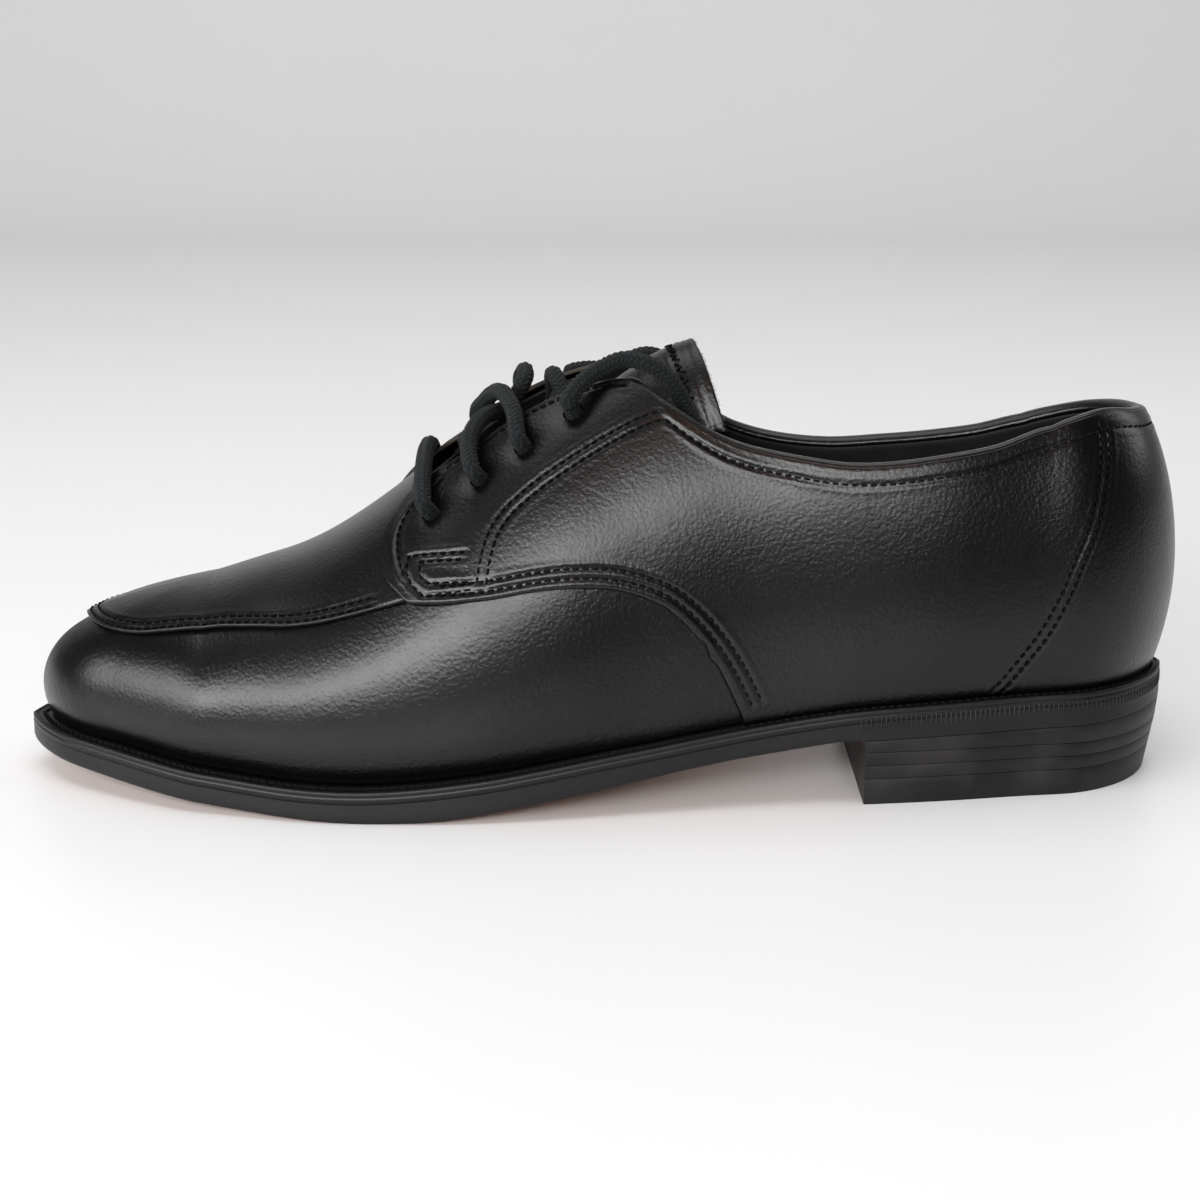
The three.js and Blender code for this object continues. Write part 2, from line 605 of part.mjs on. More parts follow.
// One layer of the heel stack, from a level plane up to a top surface.
function heelLayer(low, topAt) {
  const seat = HEEL_SEAT.z * GRADE.z;
  const inset = (z) => (s) => heelTaper(s) * (1 - z / seat);
  return plate(between(HEEL_BREAST, BACK), [
    { inset: inset(Math.min(topAt(HEEL_BREAST), seat)), z: topAt },
    { inset: inset(low), z: flat(low) },
  ]);
}
function nailPlaces() {
  const around = [[NEAR, 238], [NEAR, 285], [FAR, 238], [FAR, 285], [NEAR, BACK]];
  return around.map(([side, s]) => {
    const c = ring(side, s, NAIL.inward);
    return new THREE.Vector3(c.x * GRADE.x, c.y * GRADE.y, 0);
  });
}
function upright(at, radius, low, high) {
  const pin = new THREE.CylinderGeometry(radius, radius, high - low, 8);
  pin.rotateX(Math.PI / 2);
  pin.translate(at.x, at.y, (low + high) / 2);
  return pin;
}
function nailBores(low) {
  return nailPlaces().map((at) => upright(at, NAIL.radius + NAIL.clear, low, OVER_SOLE));
}
function heelNail(at) {
  const top = outsoleTop(at.x / GRADE.x) + GAP + NAIL.headThick;
  const profile = [
    [0, NAIL.tip], [NAIL.radius * 0.4, NAIL.tip], [NAIL.radius, NAIL.tip + NAIL.point],
    [NAIL.radius, top - NAIL.headThick], [NAIL.head, top - NAIL.headThick], [NAIL.head, top], [0, top],
  ].map(([r, z]) => new THREE.Vector2(r, z));
  const nail = new THREE.LatheGeometry(profile, 8);
  nail.rotateX(Math.PI / 2);
  nail.translate(at.x, at.y, 0);
  return nail;
}

// ---- Lace ----
const hole = (side, row) => eyelets(side)[row];
function over(side, row, d) {
  const { s, h } = hole(side, row);
  return [side, s, h, d > 0 ? d + lift(s) : d];
}
// Down through a hole from outside, or up through it when reversed; the depths are across the skin.
const UNDER = FACING_INSIDE - EYELET.thick - 3 * GAP - LACE / 2; // crossings under the facings
const PASS = [4.6, 1.8, -3.4, UNDER + 0.5];
const downThrough = (side, row) => PASS.map((d) => over(side, row, d));
const upThrough = (side, row) => downThrough(side, row).reverse();
// The lace's points are [side, station, height on the wall, distance out from the skin].
const frontBar = [
  [FAR, 110.5, 0.7, 6.6], [FAR, 110, 0.82, 5.2], [NEAR, 109.5, 0.99, 4.4], [NEAR, 110, 0.82, 5.4],
  [NEAR, 110.5, 0.7, 6.6],
];
const laceRoute = [
  ...downThrough(NEAR, 3), [NEAR, 142, 0.8, UNDER], [NEAR, 139.5, 0.985, -0.8], [FAR, 137, 0.8, UNDER],
  ...upThrough(FAR, 2), [FAR, 133.5, 0.76, 5.6], [FAR, 134.5, 0.86, 4.2], [FAR, 133, 0.95, 1.4],
  [NEAR, 127.5, 0.985, -1.2], [NEAR, 123.5, 0.88, 2.8], [NEAR, 121.5, 0.75, 5.2],
  ...downThrough(NEAR, 1), [NEAR, 119, 0.8, UNDER], [NEAR, 116.5, 0.985, -0.8], [FAR, 114, 0.8, UNDER],
  ...upThrough(FAR, 0), ...frontBar,
  ...downThrough(NEAR, 0), [NEAR, 113.5, 0.8, UNDER], [NEAR, 116, 0.985, UNDER], [FAR, 119, 0.8, UNDER],
  ...upThrough(FAR, 1), [FAR, 122, 0.74, 5.2], [FAR, 124, 0.87, 3.6], [NEAR, 127, 0.985, 3.9],
  [NEAR, 130, 0.87, 4.8], [NEAR, 132.5, 0.74, 5.2],
  ...downThrough(NEAR, 2), [NEAR, 136.5, 0.8, UNDER], [NEAR, 139, 0.985, UNDER], [FAR, 142.5, 0.8, UNDER],
  ...upThrough(FAR, 3),
];
// Each spare end leaves the last hole, goes over the facing's corner and is tucked inside, where
// it drops to the foot bed and runs back along the wall.
const overCorner = {
  [NEAR]: [
    [148.5, 0.705, 6.4], [153.5, 0.735, 5.4], [159, 0.74, 4.8], [164, 0.71, 3.8], [169, 0.67, 0.2],
    [173.5, 0.59, -5.8], [178, 0.47, -7.2], [183, 0.33, -7.2],
  ],
  [FAR]: [
    [149, 0.645, 6.4], [154, 0.63, 5.2], [160, 0.628, 4.9], [165, 0.63, 4.7], [169, 0.62, 2.6],
    [172, 0.605, -1.4], [175.5, 0.55, -6], [180, 0.43, -7.2], [184, 0.31, -7.2],
  ],
};
const INSIDE_RUN = [
  [188, 0.16, -7.2], [193, 0, -7.2], [199, -0.25, -7.4], [206, -0.45, -8], [214, -0.55, -8.4],
  [226, -0.58, -8.4], [238, -0.6, -8.4], [246, -0.61, -8.4],
];
function tailRoute(side) {
  const rest = [...overCorner[side], ...INSIDE_RUN].map((point) => [side, ...point]);
  return [over(side, 3, 5.2), over(side, 3, 6.4), ...rest];
}
// Depths outside the leather are for a lace centre 4 mm out, and follow the real sizes from there.
const RIDE = GAP + QUARTER_LEATHER + LACE / 2 - 4;
const routePoints = (route) => route.map(([side, s, h, d]) => skin(side, s, h, d > 1 ? d + RIDE : d));
const laceSection = () => round(LACE / 2, 8);
function aglet(side) {
  const points = routePoints(tailRoute(side));
  const end = points[points.length - 1];
  const way = end.clone().sub(points[points.length - 2]).normalize();
  const pin = new THREE.CylinderGeometry(AGLET.radius, AGLET.radius, AGLET.length, 8);
  pin.applyQuaternion(new THREE.Quaternion().setFromUnitVectors(new THREE.Vector3(0, 1, 0), way));
  const middle = end.clone().addScaledVector(way, AGLET.length / 2 + GAP);
  pin.translate(middle.x, middle.y, middle.z);
  return pin;
}

// ---- Assembly ----
place('vamp', vamp(), LOOK.calf);
place('apron', apron(), LOOK.calf);
place('quarter_outer', quarter(NEAR), LOOK.calf);
place('quarter_inner', quarter(FAR), LOOK.calf);
place('topline_bead', toplineBead(), LOOK.calf);
place('vamp_lining', vampLining(), LOOK.lining);
place('quarter_lining', quarterLining(), LOOK.lining);
place('toe_puff', toePuff(), LOOK.stiffener);
place('heel_counter', heelCounter(), LOOK.stiffener);
place('eyelet_stay_outer', eyeletStay(NEAR), LOOK.lining);
place('eyelet_stay_inner', eyeletStay(FAR), LOOK.lining);
place('tongue', tongueSheet(-TONGUE.leather, 0), LOOK.calf);
const liningTop = -TONGUE.leather - GAP;
place('tongue_lining', tongueSheet(liningTop - TONGUE.lining, liningTop), LOOK.lining);
for (const [side, word] of [[NEAR, 'outer'], [FAR, 'inner']]) {
  eyelets(side).forEach(({ s, h }, i) => place(`eyelet_${word}_${i + 1}`, eyelet(side, s, h), LOOK.steel));
}
place('lace', tube(routePoints(laceRoute), laceSection(), 130), LOOK.cord);
place('lace_tail_outer', tube(routePoints(tailRoute(NEAR)), laceSection(), 30), LOOK.cord);
place('lace_tail_inner', tube(routePoints(tailRoute(FAR)), laceSection(), 30), LOOK.cord);
place('aglet_outer', aglet(NEAR), LOOK.plastic);
place('aglet_inner', aglet(FAR), LOOK.plastic);
place('welt', welt(), LOOK.edge);
place('outsole', outsole(), LOOK.sole);
place('cork_filler', insetPlate(0, 122, WELT_COVER + GAP, -WELT + GAP, FILLER), LOOK.cork);
place('shank', shank(), LOOK.steel);
place('insole', insetPlate(TIP, BACK, LINED, GAP, INSOLE), LOOK.board);
place('sock_lining', insetPlate(TIP, BACK, LINED + 0.3, 2 * GAP + INSOLE, SOCK), LOOK.lining);
const nailHoles = nailBores(NAIL.tip - GAP);
const levels = [TOP_PIECE, TOP_PIECE + LIFT, TOP_PIECE + 2 * LIFT];
place('heel_top_piece', heelLayer(0, flat(levels[0] - GAP)), LOOK.edge);
place('heel_lift_3', cut(heelLayer(levels[0], flat(levels[1] - GAP)), nailHoles), LOOK.edge);
place('heel_lift_2', cut(heelLayer(levels[1], flat(levels[2] - GAP)), nailHoles), LOOK.edge);
place('heel_lift_1', cut(heelLayer(levels[2], underSeat), nailHoles), LOOK.edge);
nailPlaces().forEach((at, i) => place(`heel_nail_${i + 1}`, heelNail(at), LOOK.steel));

// The origin is on the ground under the middle of the shoe.
const shoe = new THREE.Group();
shoe.add(bodies);
const box = new THREE.Box3().setFromObject(bodies);
const centre = box.getCenter(new THREE.Vector3());
bodies.position.set(-centre.x, -centre.y, -box.min.z);

export default shoe;
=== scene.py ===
# %% [markdown]
# # A black apron-toe derby shoe
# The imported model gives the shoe's solids, and this lesson dresses them: smooth leather, cut
# edges, real stitches and a braided lace. Everything is in metres, with +X from toe to heel,
# +Y to the inner side of the foot and +Z up.

import math

import bmesh
import bpy
import numpy as np
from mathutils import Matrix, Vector
from mathutils.kdtree import KDTree


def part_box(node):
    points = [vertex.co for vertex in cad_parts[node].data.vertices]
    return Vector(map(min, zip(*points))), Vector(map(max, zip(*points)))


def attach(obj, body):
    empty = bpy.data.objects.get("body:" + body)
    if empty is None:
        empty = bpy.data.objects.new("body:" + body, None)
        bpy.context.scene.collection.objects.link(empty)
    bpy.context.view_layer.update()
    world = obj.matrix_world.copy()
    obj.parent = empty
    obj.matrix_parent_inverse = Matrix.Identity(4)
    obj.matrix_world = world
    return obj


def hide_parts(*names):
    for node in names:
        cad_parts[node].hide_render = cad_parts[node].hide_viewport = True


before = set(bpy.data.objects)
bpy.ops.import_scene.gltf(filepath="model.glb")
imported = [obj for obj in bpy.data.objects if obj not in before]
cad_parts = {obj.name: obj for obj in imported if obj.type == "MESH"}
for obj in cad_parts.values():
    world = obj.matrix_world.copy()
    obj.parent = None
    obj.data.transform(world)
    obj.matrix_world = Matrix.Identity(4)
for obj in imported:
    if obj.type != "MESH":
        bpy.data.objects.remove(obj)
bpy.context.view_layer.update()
MM = 0.001

# %% [markdown]
# ## The last
# A shoe is built over a last, a model of the foot. Every layer of the upper is the last's skin
# moved out or in by a few tenths of a millimetre. The same stations as the solids' own describe
# it here, read through a smooth curve, so that a much finer mesh falls on the same surface. A
# subdivision modifier on the solids would round the corners off and shrink them.

# %% Smooth curves through stations
NEAR, FAR = -1, 1  # the outer and the inner side of the foot
TOE_AXIS = {"x": 50.0, "y": 1.0, "radius": 43.0}
HEEL_AXIS = {"x": 266.0, "y": 0.5, "radius": 32.0}
TIP = TOE_AXIS["x"] - TOE_AXIS["radius"] * math.pi / 2
BACK = HEEL_AXIS["x"] + HEEL_AXIS["radius"] * math.pi / 2


def through(*stations):
    """A smooth curve through (place, value) stations, for numbers or arrays."""
    at = np.array([s[0] for s in stations], float)
    value = np.array([s[1] for s in stations], float)
    last = len(at) - 1
    before = np.maximum(np.arange(last + 1) - 1, 0)
    after = np.minimum(np.arange(last + 1) + 1, last)
    slope = (value[after] - value[before]) / (at[after] - at[before])

    def curve(place):
        p = np.clip(np.asarray(place, float), at[0], at[-1])
        i = np.clip(np.searchsorted(at, p, side="left") - 1, 0, last - 1)
        span = at[i + 1] - at[i]
        t = (p - at[i]) / span
        u = 1 - t
        ends = value[i] * (1 + 2 * t) * u * u + value[i + 1] * (3 - 2 * t) * t * t
        return ends + span * (slope[i] * t * u * u - slope[i + 1] * t * t * u)

    return curve


def two_sided(near, far):
    """One curve for the outer side of the foot and one for the inner."""
    return lambda side, s: np.where(np.asarray(side) < 0, near(s), far(s))


def smooth(a, b, x):
    t = np.clip((np.asarray(x, float) - a) / (b - a), 0, 1)
    return t * t * (3 - 2 * t)


print(f"stations run from {TIP:.1f} mm at the toe to {BACK:.1f} mm at the heel")

# %% The last's stations, in millimetres
spine_y = through((50, 1), (80, 1.5), (105, 3), (130, 4.5), (160, 4.5), (200, 2.5), (230, 1), (266, 0.5))
ridge_z = through(
    (50, 50.2), (62, 54), (73, 57.6), (83.5, 62.8), (98, 72.6), (110, 82.5), (124, 95), (138, 105),
    (150, 111), (162, 116.5), (175, 120), (190, 122), (210, 124), (235, 122), (266, 115),
)
rim_radius = two_sided(
    through(
        (TIP, 50), (-0.7, 43.8), (16, 38.6), (33, 38.2), (50, 42), (77, 49.5), (100, 52.8), (122, 54),
        (142, 52), (164, 48), (192, 42), (219, 38.1), (241, 34.8), (266, 30.6), (278.6, 30.9),
        (291, 31.8), (303.7, 33.6), (BACK, 36),
    ),
    through(
        (TIP, 50), (-0.7, 45.8), (16, 41.3), (33, 40.4), (50, 43.5), (75, 48), (90, 48.5), (115, 42.5),
        (150, 31), (180, 27.5), (215, 29.8), (245, 31.8), (266, 31), (278.6, 31.3), (291, 32.2),
        (303.7, 33.8), (BACK, 36),
    ),
)
welt_show = through((TIP, 5), (20, 5.6), (50, 6), (120, 6), (180, 5.5), (266, 4.5), (BACK, 4))
bulge_inset = two_sided(
    through(
        (TIP, 3.2), (76, 3.2), (100, 3), (142, 4), (164, 5), (192, 4.5), (219, 3), (241, 1.5),
        (266, 0.8), (BACK, -0.6),
    ),
    through(
        (TIP, 3.2), (75, 3), (90, 2.5), (115, 1), (150, -2.5), (180, -3), (215, 0), (266, 0.6),
        (BACK, -0.6),
    ),
)
bulge_z = through(
    (TIP, 22), (50, 20), (100, 22), (122, 25), (150, 32), (182, 40), (219, 47), (266, 53), (BACK, 55)
)
sole_top = through(
    (0, 14), (14, 13.4), (29, 12.4), (56, 9.7), (77, 8.3), (97, 8.4), (122, 11), (137, 13.2),
    (152, 15.6), (164, 17.4), (182, 20.2), (192, 21.7), (207, 23.8), (219.5, 25.1), (241, 26.2),
    (267, 27.2), (302, 27.8),
)
sole_arch = through(
    (0, 7), (14, 6), (29, 4.6), (56, 2), (76, 0.5), (86, 0), (98, 0), (110, 0.6), (122, 2.2),
    (137, 4.6), (152, 7.2), (164, 9.6), (182, 12.8), (192, 14.2), (207, 16.3), (214, 17.2),
)
TOE_TILT = 0.12
GAP = 0.35
HEEL_SEAT = {"start": 214, "z": 17.2, "slope": 0.028}


def sole_bottom(x):
    seat = HEEL_SEAT["z"] + (x - HEEL_SEAT["start"]) * HEEL_SEAT["slope"]
    return np.where(x < HEEL_SEAT["start"], sole_arch(x), seat)


print(f"sole {float(sole_top(302)):.1f} mm high at the heel, {float(ridge_z(190)):.0f} mm at the instep")

# %% Points of the last in the shoe's frame
def upright_plane(side, s):
    """Foot and direction of the upright plane at a station: straight, or fanned round an end."""
    side, s = np.broadcast_arrays(np.asarray(side, float), np.asarray(s, float))
    a = np.where(s < TOE_AXIS["x"], (s - TIP) / TOE_AXIS["radius"], 0)
    b = np.where(s > HEEL_AXIS["x"], (s - HEEL_AXIS["x"]) / HEEL_AXIS["radius"], 0)
    toe, heel = s < TOE_AXIS["x"], s > HEEL_AXIS["x"]
    x = np.where(toe, TOE_AXIS["x"], np.where(heel, HEEL_AXIS["x"], s))
    y = np.where(toe, TOE_AXIS["y"], np.where(heel, HEEL_AXIS["y"], spine_y(s)))
    dx = np.where(toe, -np.cos(a), np.where(heel, np.sin(b), 0))
    dy = side * np.where(toe, np.sin(a), np.where(heel, np.cos(b), 1))
    return x, y, dx, dy


def drawn_to_frame():
    """Where the toe's tip and the spine's zero lie in the frame, from the outsole's own box."""
    low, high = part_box("outsole")
    s = np.linspace(TIP, BACK, 2000)
    edges = []
    for side in (NEAR, FAR):
        _, y, _, dy = upright_plane(side, s)
        edges.append((y + dy * rim_radius(side, s)) * MM)
    return np.array([low.x, (low.y + high.y - edges[0].min() - edges[1].max()) / 2, 0])


ORIGIN = drawn_to_frame()


def last_point(side, s, h):
    """A point in mm: h is -1 at the feather line, 0 at the widest line and 1 on the ridge."""
    x, y, dx, dy = upright_plane(side, s)
    rim = rim_radius(side, s)
    wide, wide_z = rim - bulge_inset(side, s), bulge_z(s)
    feather = rim - welt_show(s)
    feather_z = sole_top(x + dx * feather) + GAP
    a = np.clip(h, 0, 1) * math.pi / 2
    r_high = wide * np.cos(a)
    tilt = np.where(s < TOE_AXIS["x"], np.maximum(-dx, 0) * TOE_TILT * r_high * np.sin(a) ** 4, 0)
    z_high = wide_z + (ridge_z(s) - wide_z) * np.sin(a) - tilt
    r = np.where(h < 0, wide - (wide - feather) * h * h, r_high)
    z = np.where(h < 0, wide_z + h * (wide_z - feather_z), z_high)
    return np.stack(np.broadcast_arrays(x + dx * r, y + dy * r, z), -1)


def unit(v):
    return v / np.maximum(np.linalg.norm(v, axis=-1, keepdims=True), 1e-12)


def last_normal(side, s, h):
    side, s, h = (v.astype(float) for v in np.broadcast_arrays(side, s, h))
    e = 0.02
    along = last_point(side, np.minimum(s + 1, BACK), h) - last_point(side, np.maximum(s - 1, TIP), h)
    across = np.stack([0 * s, side, 0 * s], -1)
    along = np.where((s < TIP + 1)[..., None], across, along)
    along = np.where((s > BACK - 1)[..., None], -across, along)
    up = last_point(side, s, np.minimum(h + e, 1)) - last_point(side, s, np.maximum(h - e, -1))
    normal = unit(np.cross(along, up) * -side[..., None])
    normal[..., 2] *= np.where(h < 0, 1 + h, 1)
    on = np.clip(s, TOE_AXIS["x"], HEEL_AXIS["x"])
    rise = (ridge_z(on + 1) - ridge_z(on - 1)) / 2
    ridge = unit(np.stack([-rise, 0 * s, 1 + 0 * s], -1))
    return unit(np.where((h > 0.985)[..., None], ridge, unit(normal)))


def skin(side, s, h, d):
    """Points in the frame, in metres, d mm outside the last."""
    side, s, h, d = np.broadcast_arrays(side, s, h, d)
    return (last_point(side, s, h) + last_normal(side, s, h) * np.asarray(d, float)[..., None]) * MM + ORIGIN


def run_along(points):
    """Millimetres along a row of points in metres."""
    return np.concatenate([[0], np.cumsum(np.linalg.norm(np.diff(points, axis=0), axis=1))]) * 1000


def raised(side, s, h, mm):
    """The height on the wall that is mm higher than h."""
    e = 0.02
    rate = np.linalg.norm(last_point(side, s, h + e) - last_point(side, s, h - e), axis=-1) / (2 * e)
    return h + mm / rate


print("toe tip and spine in the frame:", np.round(ORIGIN, 4))

# %% [markdown]
# ## Camera
# The shoe is looked at from its outer side, level with its middle and a little from above, with
# a long lens that keeps the toe and the heel at their true proportions.

# %% Camera
CAMERA_PLACE = (-0.0059, -0.6662, 0.2256)
CAMERA_PITCH, CAMERA_YAW = math.radians(90 - 15.17), math.radians(-0.5)
camera = bpy.data.objects.new("camera", bpy.data.cameras.new("camera"))
bpy.context.scene.collection.objects.link(camera)
camera.location = CAMERA_PLACE
camera.rotation_euler = (CAMERA_PITCH, 0, CAMERA_YAW)
camera.data.lens, camera.data.sensor_width = 78, 36
bpy.context.scene.camera = camera
print("lens", camera.data.lens, "mm at", CAMERA_PLACE)

# %% [markdown]
# ## Shader sums
# Finishes are worked out with ordinary sums. A small class wraps a socket and turns + - and * into
# Math nodes, or Vector Math nodes where a vector takes part. Any other node comes from one
# method that takes its type, its settings and its inputs.

# %% A class for finishes
class Wire:
    """A node's output that takes part in sums."""

    def __init__(self, finish, socket):
        self.finish, self.socket = finish, socket
        self.is_vector = socket.type in ("VECTOR", "RGBA")

    def _sum(self, operation, first, second):
        vector = any(isinstance(v, Wire) and v.is_vector for v in (first, second))
        kind = "ShaderNodeVectorMath" if vector else "ShaderNodeMath"
        values = [(v,) * 3 if vector and not isinstance(v, Wire) else v for v in (first, second)]
        return self.finish.node(kind, {"operation": operation}, {0: values[0], 1: values[1]})

    def __add__(self, other):
        return self._sum("ADD", self, other)

    def __sub__(self, other):
        return self._sum("SUBTRACT", self, other)

    def __rsub__(self, other):
        return self._sum("SUBTRACT", other, self)

    def __mul__(self, other):
        return self._sum("MULTIPLY", self, other)

    __radd__, __rmul__ = __add__, __mul__


class Finish:
    """One material: a Principled shader and the nodes that feed it."""

    def __init__(self, name, **plain):
        self.material = bpy.data.materials.new(name)
        self.material.use_nodes = True
        self.tree = self.material.node_tree
        self.shader = self.tree.nodes["Principled BSDF"]
        for socket, value in plain.items():
            self.shader.inputs[socket.replace("_", " ")].default_value = value
        self.place = self.node("ShaderNodeTexCoord", out="Object")

    def node(self, kind, settings=None, inputs=None, out=0):
        made = self.tree.nodes.new(kind)
        for key, value in (settings or {}).items():
            if key == "stops":
                ramp = made.color_ramp
                while len(ramp.elements) < len(value):
                    ramp.elements.new(1)
                for element, (place, shade) in zip(ramp.elements, value):
                    element.position, element.color = place, (shade, shade, shade, 1)
            else:
                setattr(made, key, value)
        for key, value in (inputs or {}).items():
            if isinstance(value, Wire):
                self.tree.links.new(value.socket, made.inputs[key])
            else:
                made.inputs[key].default_value = value
        return Wire(self, made.outputs[out])

    def noise(self, size_mm, detail=4, roughness=0.5, place=None):
        return self.node(
            "ShaderNodeTexNoise",
            inputs={
                "Vector": place or self.place, "Scale": 1000 / size_mm,
                "Detail": detail, "Roughness": roughness,
            },
        )

    def cells(self, size_mm, feature="SMOOTH_F1", place=None):
        return self.node(
            "ShaderNodeTexVoronoi", {"feature": feature},
            {"Vector": place or self.place, "Scale": 1000 / size_mm},
        )

    def ramp(self, value, *stops):
        return self.node("ShaderNodeValToRGB", {"stops": stops}, {0: value})

    def blend(self, factor, dark, light):
        first, second = ((*c, 1) if isinstance(c, tuple) else c for c in (dark, light))
        inputs = {0: factor, 6: first, 7: second}
        return self.node("ShaderNodeMix", {"data_type": "RGBA"}, inputs, out=2)

    def attribute(self, name):
        return self.node("ShaderNodeAttribute", {"attribute_name": name}, out="Fac")

    def feed(self, socket, wire):
        self.tree.links.new(wire.socket, self.shader.inputs[socket])
        return self

    def bumped(self, height, depth_mm, strength=1.0):
        inputs = {"Height": height, "Distance": depth_mm * MM, "Strength": strength}
        return self.feed("Normal", self.node("ShaderNodeBump", inputs=inputs))


print("finishes are made of", Finish.__name__, "and", Wire.__name__)

# %% [markdown]
# ## Leather
# Box calf is dyed black and lightly waxed. It has a fine pebble grain with pores, a soft broad
# gloss and a few spots of dust. The grain is a cell pattern for the pebbles with noise for the
# pores, both as bump, and the gloss varies slowly from place to place as hand polish does.

# %% Upper leather
def calf_leather(name, grain=1.0, gloss=0.31):
    finish = Finish(name, Specular_IOR_Level=0.48, Coat_Roughness=0.24, IOR=1.5)
    pebbles = finish.cells(0.95)
    pores = finish.noise(0.42, detail=3)
    cloud = finish.noise(18, detail=3)
    folds = finish.noise(5.5, detail=2)
    height = pebbles * 0.75 + pores * 0.55 + folds * 0.5
    dust = finish.ramp(finish.noise(1.5, detail=1), (0.79, 0), (0.83, 1))
    shade = finish.blend(cloud, (0.0032, 0.0032, 0.0034), (0.0052, 0.005, 0.0052))
    finish.feed("Base Color", finish.blend(dust * 0.10, shade, (0.16, 0.15, 0.14)))
    finish.feed("Roughness", gloss - 0.05 + cloud * 0.10 + pores * 0.06 + dust * 0.1)
    finish.feed("Coat Weight", 0.32 - cloud * 0.2)
    return finish.bumped(height, 0.11 * grain, 0.9)


CALF = calf_leather("calf")
TONGUE_CALF = calf_leather("tongue_calf", grain=1.5, gloss=0.33)
print("leather grain pebbles 0.95 mm across")

# %% Lining, edges and the parts inside
def lining_leather():
    finish = Finish("lining_leather", Specular_IOR_Level=0.35, Sheen_Weight=0.15, Sheen_Roughness=0.5)
    cloud, nap = finish.noise(9), finish.noise(0.5, detail=5)
    finish.feed("Base Color", finish.blend(cloud, (0.008, 0.008, 0.009), (0.02, 0.0195, 0.021)))
    finish.feed("Roughness", 0.58 + nap * 0.2)
    return finish.bumped(nap + finish.cells(1.1) * 0.6, 0.06, 0.7)


def edge_dressing():
    """Black edge ink over sole leather, with grey dust in it."""
    finish = Finish("edge_dressing", Specular_IOR_Level=0.45)
    specks = finish.ramp(finish.noise(1.1, detail=2, roughness=0.7), (0.67, 0), (0.76, 1))
    smears = finish.ramp(finish.noise(14, detail=5), (0.45, 0), (0.75, 1))
    dust = specks * 0.16 + smears * 0.10
    finish.feed("Base Color", finish.blend(dust, (0.0125, 0.0122, 0.013), (0.17, 0.155, 0.14)))
    finish.feed("Roughness", 0.44 + smears * 0.14 + specks * 0.2)
    return finish.bumped(finish.noise(0.6, detail=6) + smears * 0.4, 0.05, 0.6)


def ticked_edge():
    """The heel seat's edge, pressed with a fine upright wheel mark."""
    finish = Finish("ticked_edge", Specular_IOR_Level=0.45)
    specks = finish.ramp(finish.noise(1.1, detail=2, roughness=0.7), (0.67, 0), (0.76, 1))
    run, mask = finish.attribute("run_mm"), finish.attribute("tick_mask")
    wave = finish.node("ShaderNodeMath", {"operation": "SINE"}, {0: run * (2 * math.pi / TICK_PITCH)})
    sharp = finish.ramp(wave * 0.5 + 0.5, (0.35, 0), (0.62, 1))
    finish.feed("Base Color", finish.blend(specks * 0.16, (0.0125, 0.0122, 0.013), (0.17, 0.155, 0.14)))
    finish.feed("Roughness", 0.45 + specks * 0.2 - mask * 0.05)
    return finish.bumped(sharp * mask * 0.2 + finish.noise(0.6, detail=4) * 0.3, 0.12, 1.0)


def sole_leather():
    finish = Finish("sole_leather", Specular_IOR_Level=0.4, Coat_Roughness=0.3)
    fibre = finish.noise(2.2, detail=6, roughness=0.65)
    scuff = finish.ramp(finish.noise(22, detail=6), (0.5, 0), (0.72, 1))
    shade = finish.blend(fibre, (0.20, 0.085, 0.036), (0.42, 0.21, 0.105))
    finish.feed("Base Color", finish.blend(scuff * 0.35, shade, (0.10, 0.055, 0.032)))
    finish.feed("Roughness", 0.42 + fibre * 0.2)
    return finish.bumped(fibre, 0.08, 0.5)


def plain_stock(name, dark, light, size_mm, rough, depth_mm, **more):
    finish = Finish(name, **more)
    mottle = finish.noise(size_mm, detail=6, roughness=0.6)
    finish.feed("Base Color", finish.blend(mottle, dark, light))
    finish.feed("Roughness", rough + mottle * 0.15)
    return finish.bumped(mottle + finish.noise(size_mm / 4, detail=3) * 0.4, depth_mm, 0.6)


TICK_PITCH = 1.3
LINING = lining_leather()
EDGE = edge_dressing()
TICKS = ticked_edge()
SOLE = sole_leather()
STIFFENER = plain_stock("stiffener_cloth", (0.42, 0.37, 0.28), (0.62, 0.56, 0.45), 0.8, 0.8, 0.1)
CORK = plain_stock("cork", (0.25, 0.13, 0.06), (0.5, 0.3, 0.16), 1.6, 0.85, 0.2)
BOARD = plain_stock("insole_board", (0.26, 0.17, 0.1), (0.42, 0.3, 0.19), 1.4, 0.75, 0.08)
STEEL = plain_stock("steel", (0.42, 0.42, 0.43), (0.62, 0.62, 0.63), 3.0, 0.28, 0.02, Metallic=1.0)
THREAD = plain_stock(
    "thread", (0.003, 0.003, 0.0035), (0.011, 0.011, 0.012), 0.35, 0.66, 0.05, Specular_IOR_Level=0.25
)
RAW_EDGE = plain_stock("raw_edge", (0.05, 0.048, 0.046), (0.2, 0.19, 0.185), 0.5, 0.8, 0.15)
FACING_EDGE = plain_stock("facing_edge", (0.018, 0.015, 0.012), (0.06, 0.049, 0.04), 0.7, 0.6, 0.12)
STAY_CLOTH = plain_stock("stay_cloth", (0.006, 0.006, 0.006), (0.02, 0.019, 0.018), 0.8, 0.85, 0.1)
AGLET = plain_stock(
    "aglet_plastic", (0.006, 0.006, 0.007), (0.012, 0.012, 0.013), 2.0, 0.16, 0.02, Coat_Weight=0.6
)
print("finishes:", len(bpy.data.materials))

